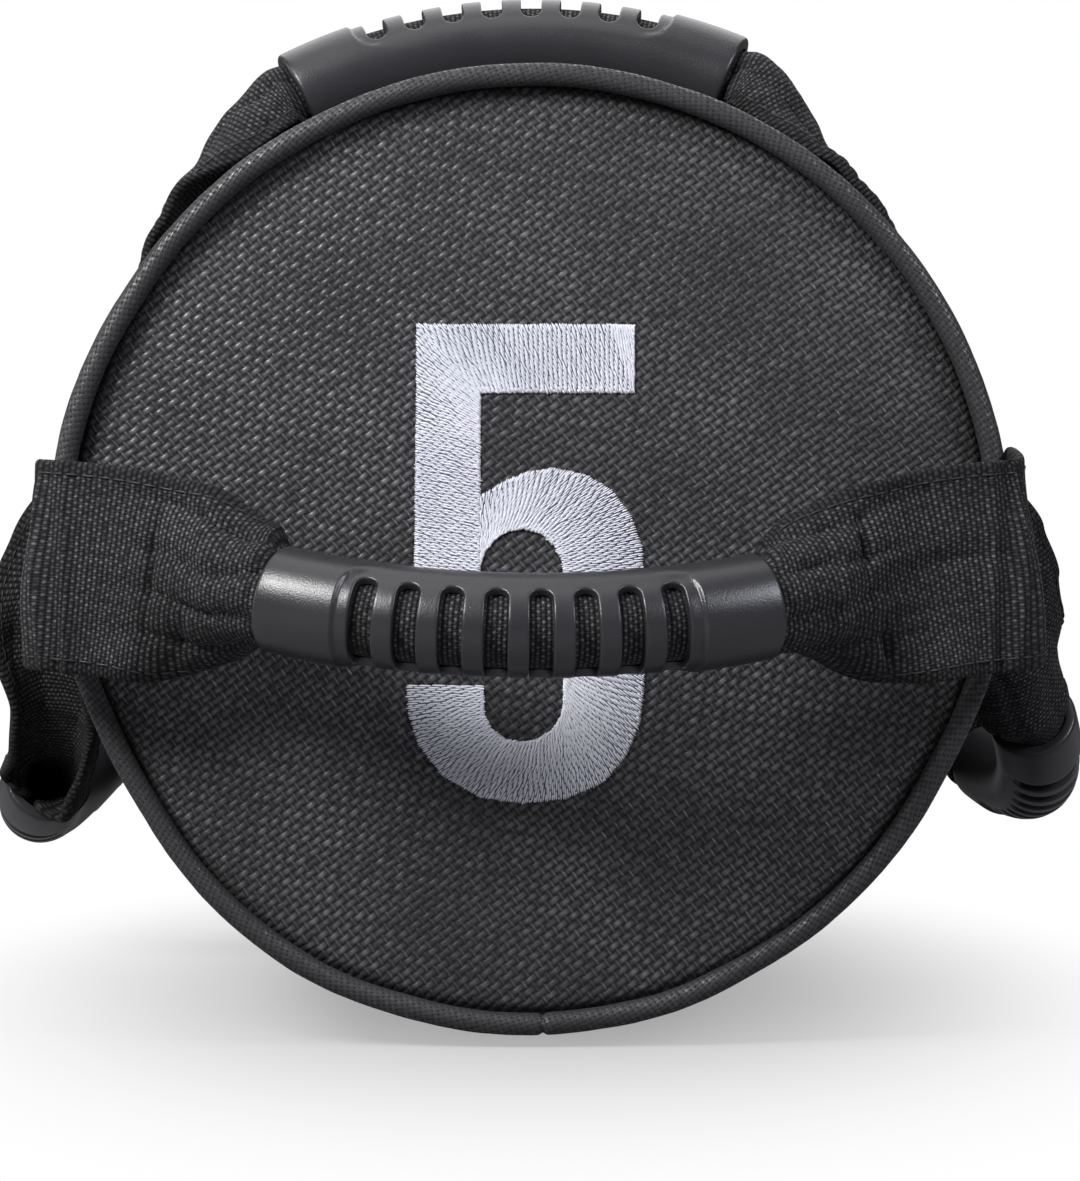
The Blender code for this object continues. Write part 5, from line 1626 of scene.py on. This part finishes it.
def studio_world():
    """White to the camera, dim to everything else."""
    world = bpy.data.worlds.new("studio")
    bpy.context.scene.world = world
    world.use_nodes = True
    tree = world.node_tree
    tree.nodes.clear()
    seen = add(tree, "ShaderNodeLightPath").outputs["Is Camera Ray"]
    fill = add(tree, "ShaderNodeBackground", {"Color": linear("#f4f5f8"), "Strength": 0.13})
    white = add(tree, "ShaderNodeBackground", {"Color": WHITE, "Strength": 1.0})
    both = add(tree, "ShaderNodeMixShader", {0: seen, 1: fill, 2: white})
    add(tree, "ShaderNodeOutputWorld", {"Surface": both})


def studio_floor():
    """The camera sees the shadow close to the bag and plain white further off.

    All other rays meet a dull floor, which throws little light up under the bag.
    """
    reach_x, reach_y, middle_y = 0.19, 0.42, -0.10
    shadow_share = 0.34  # how much white is mixed into the shadow even under the bag
    mesh = bpy.data.meshes.new("floor")
    mesh.from_pydata([(-6, -4, 0), (6, -4, 0), (6, 8, 0), (-6, 8, 0)], [], [(0, 1, 2, 3)])
    floor = in_scene("floor", mesh)
    made, tree, shader = finish_material("painted_studio_floor", Roughness=0.9)
    shader.inputs["Base Color"].default_value = linear("#959596")
    place = add(tree, "ShaderNodeTexCoord").outputs["Object"]
    scaled = add(tree, "ShaderNodeMapping", {
        "Vector": place, "Location": (0, -middle_y / reach_y, 0),
        "Scale": (1 / reach_x, 1 / reach_y, 0)})
    away = add(tree, "ShaderNodeVectorMath", {0: scaled}, operation="LENGTH")
    bare = add(tree, "ShaderNodeMapRange", {
        "Value": away.outputs["Value"], "From Min": 0.15, "From Max": 1.0,
        "To Min": shadow_share}, interpolation_type="SMOOTHSTEP")
    plain = add(tree, "ShaderNodeEmission", {"Color": WHITE, "Strength": 1.0})
    shown = add(tree, "ShaderNodeMixShader", {0: bare, 1: shader, 2: plain})
    dull = add(tree, "ShaderNodeBsdfDiffuse", {"Color": linear("#88888a")})
    seen = add(tree, "ShaderNodeLightPath").outputs["Is Camera Ray"]
    floor_mix = add(tree, "ShaderNodeMixShader", {0: seen, 1: dull, 2: shown})
    tree.links.new(floor_mix.outputs[0], tree.nodes["Material Output"].inputs["Surface"])
    mesh.materials.append(made)


def studio_lamps():
    for name, place, aim, size, power, tint in LAMPS:
        data = bpy.data.lights.new(name, "AREA")
        data.shape = "SQUARE"
        data.size = size
        data.energy = power
        data.color = linear(tint)[:3]
        lamp = in_scene(name, data)
        lamp.location = place
        lamp.rotation_euler = (Vector(aim) - Vector(place)).to_track_quat("-Z", "Y").to_euler()


def studio_camera():
    data = bpy.data.cameras.new("camera")
    data.sensor_width = 36.0
    data.lens = CAMERA_LENS
    data.clip_start = 0.05
    camera = in_scene("camera", data)
    camera.location = (0, -CAMERA_AWAY, AXIS_HEIGHT)
    camera.rotation_euler = (radians(90 - CAMERA_DOWN), 0, radians(-CAMERA_RIGHT))
    bpy.context.scene.camera = camera
    bpy.context.scene.view_settings.view_transform = "Standard"


# The whole bag


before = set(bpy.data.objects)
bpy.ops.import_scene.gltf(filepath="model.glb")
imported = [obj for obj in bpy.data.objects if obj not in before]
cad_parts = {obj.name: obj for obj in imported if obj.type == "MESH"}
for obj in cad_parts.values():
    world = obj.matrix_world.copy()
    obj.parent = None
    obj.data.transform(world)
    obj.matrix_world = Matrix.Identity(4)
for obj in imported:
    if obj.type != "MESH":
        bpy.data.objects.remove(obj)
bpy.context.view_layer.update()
filling()
barrel_cloth()
for where, way_out in ENDS:
    panel = end_panel(f"{where}_panel_cloth", way_out)
    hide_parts(f"{where}_end_panel")
    piping(f"{where}_piping_cord", way_out)
embroidered_number()
master_grip = grip_mesh()
end_handle("front", -1, END_SLIP, END_ROLL, master_grip)
end_handle("rear", 1, 0.0, 0.0, master_grip)
top_handle("front", -1, TOP_LEAN, TOP_TILT, master_grip)
top_handle("rear", 1, 0.0, 0.0, master_grip)
side_handle("left", -1, 0.0198, 0.0673, radians(38), 0.0, master_grip)
side_handle("right", 1, 0.0249, 0.0592, radians(32), radians(9.7), master_grip)
bpy.data.objects.remove(master_grip)
zip_fastener()
studio_world()
studio_floor()
studio_lamps()
studio_camera()
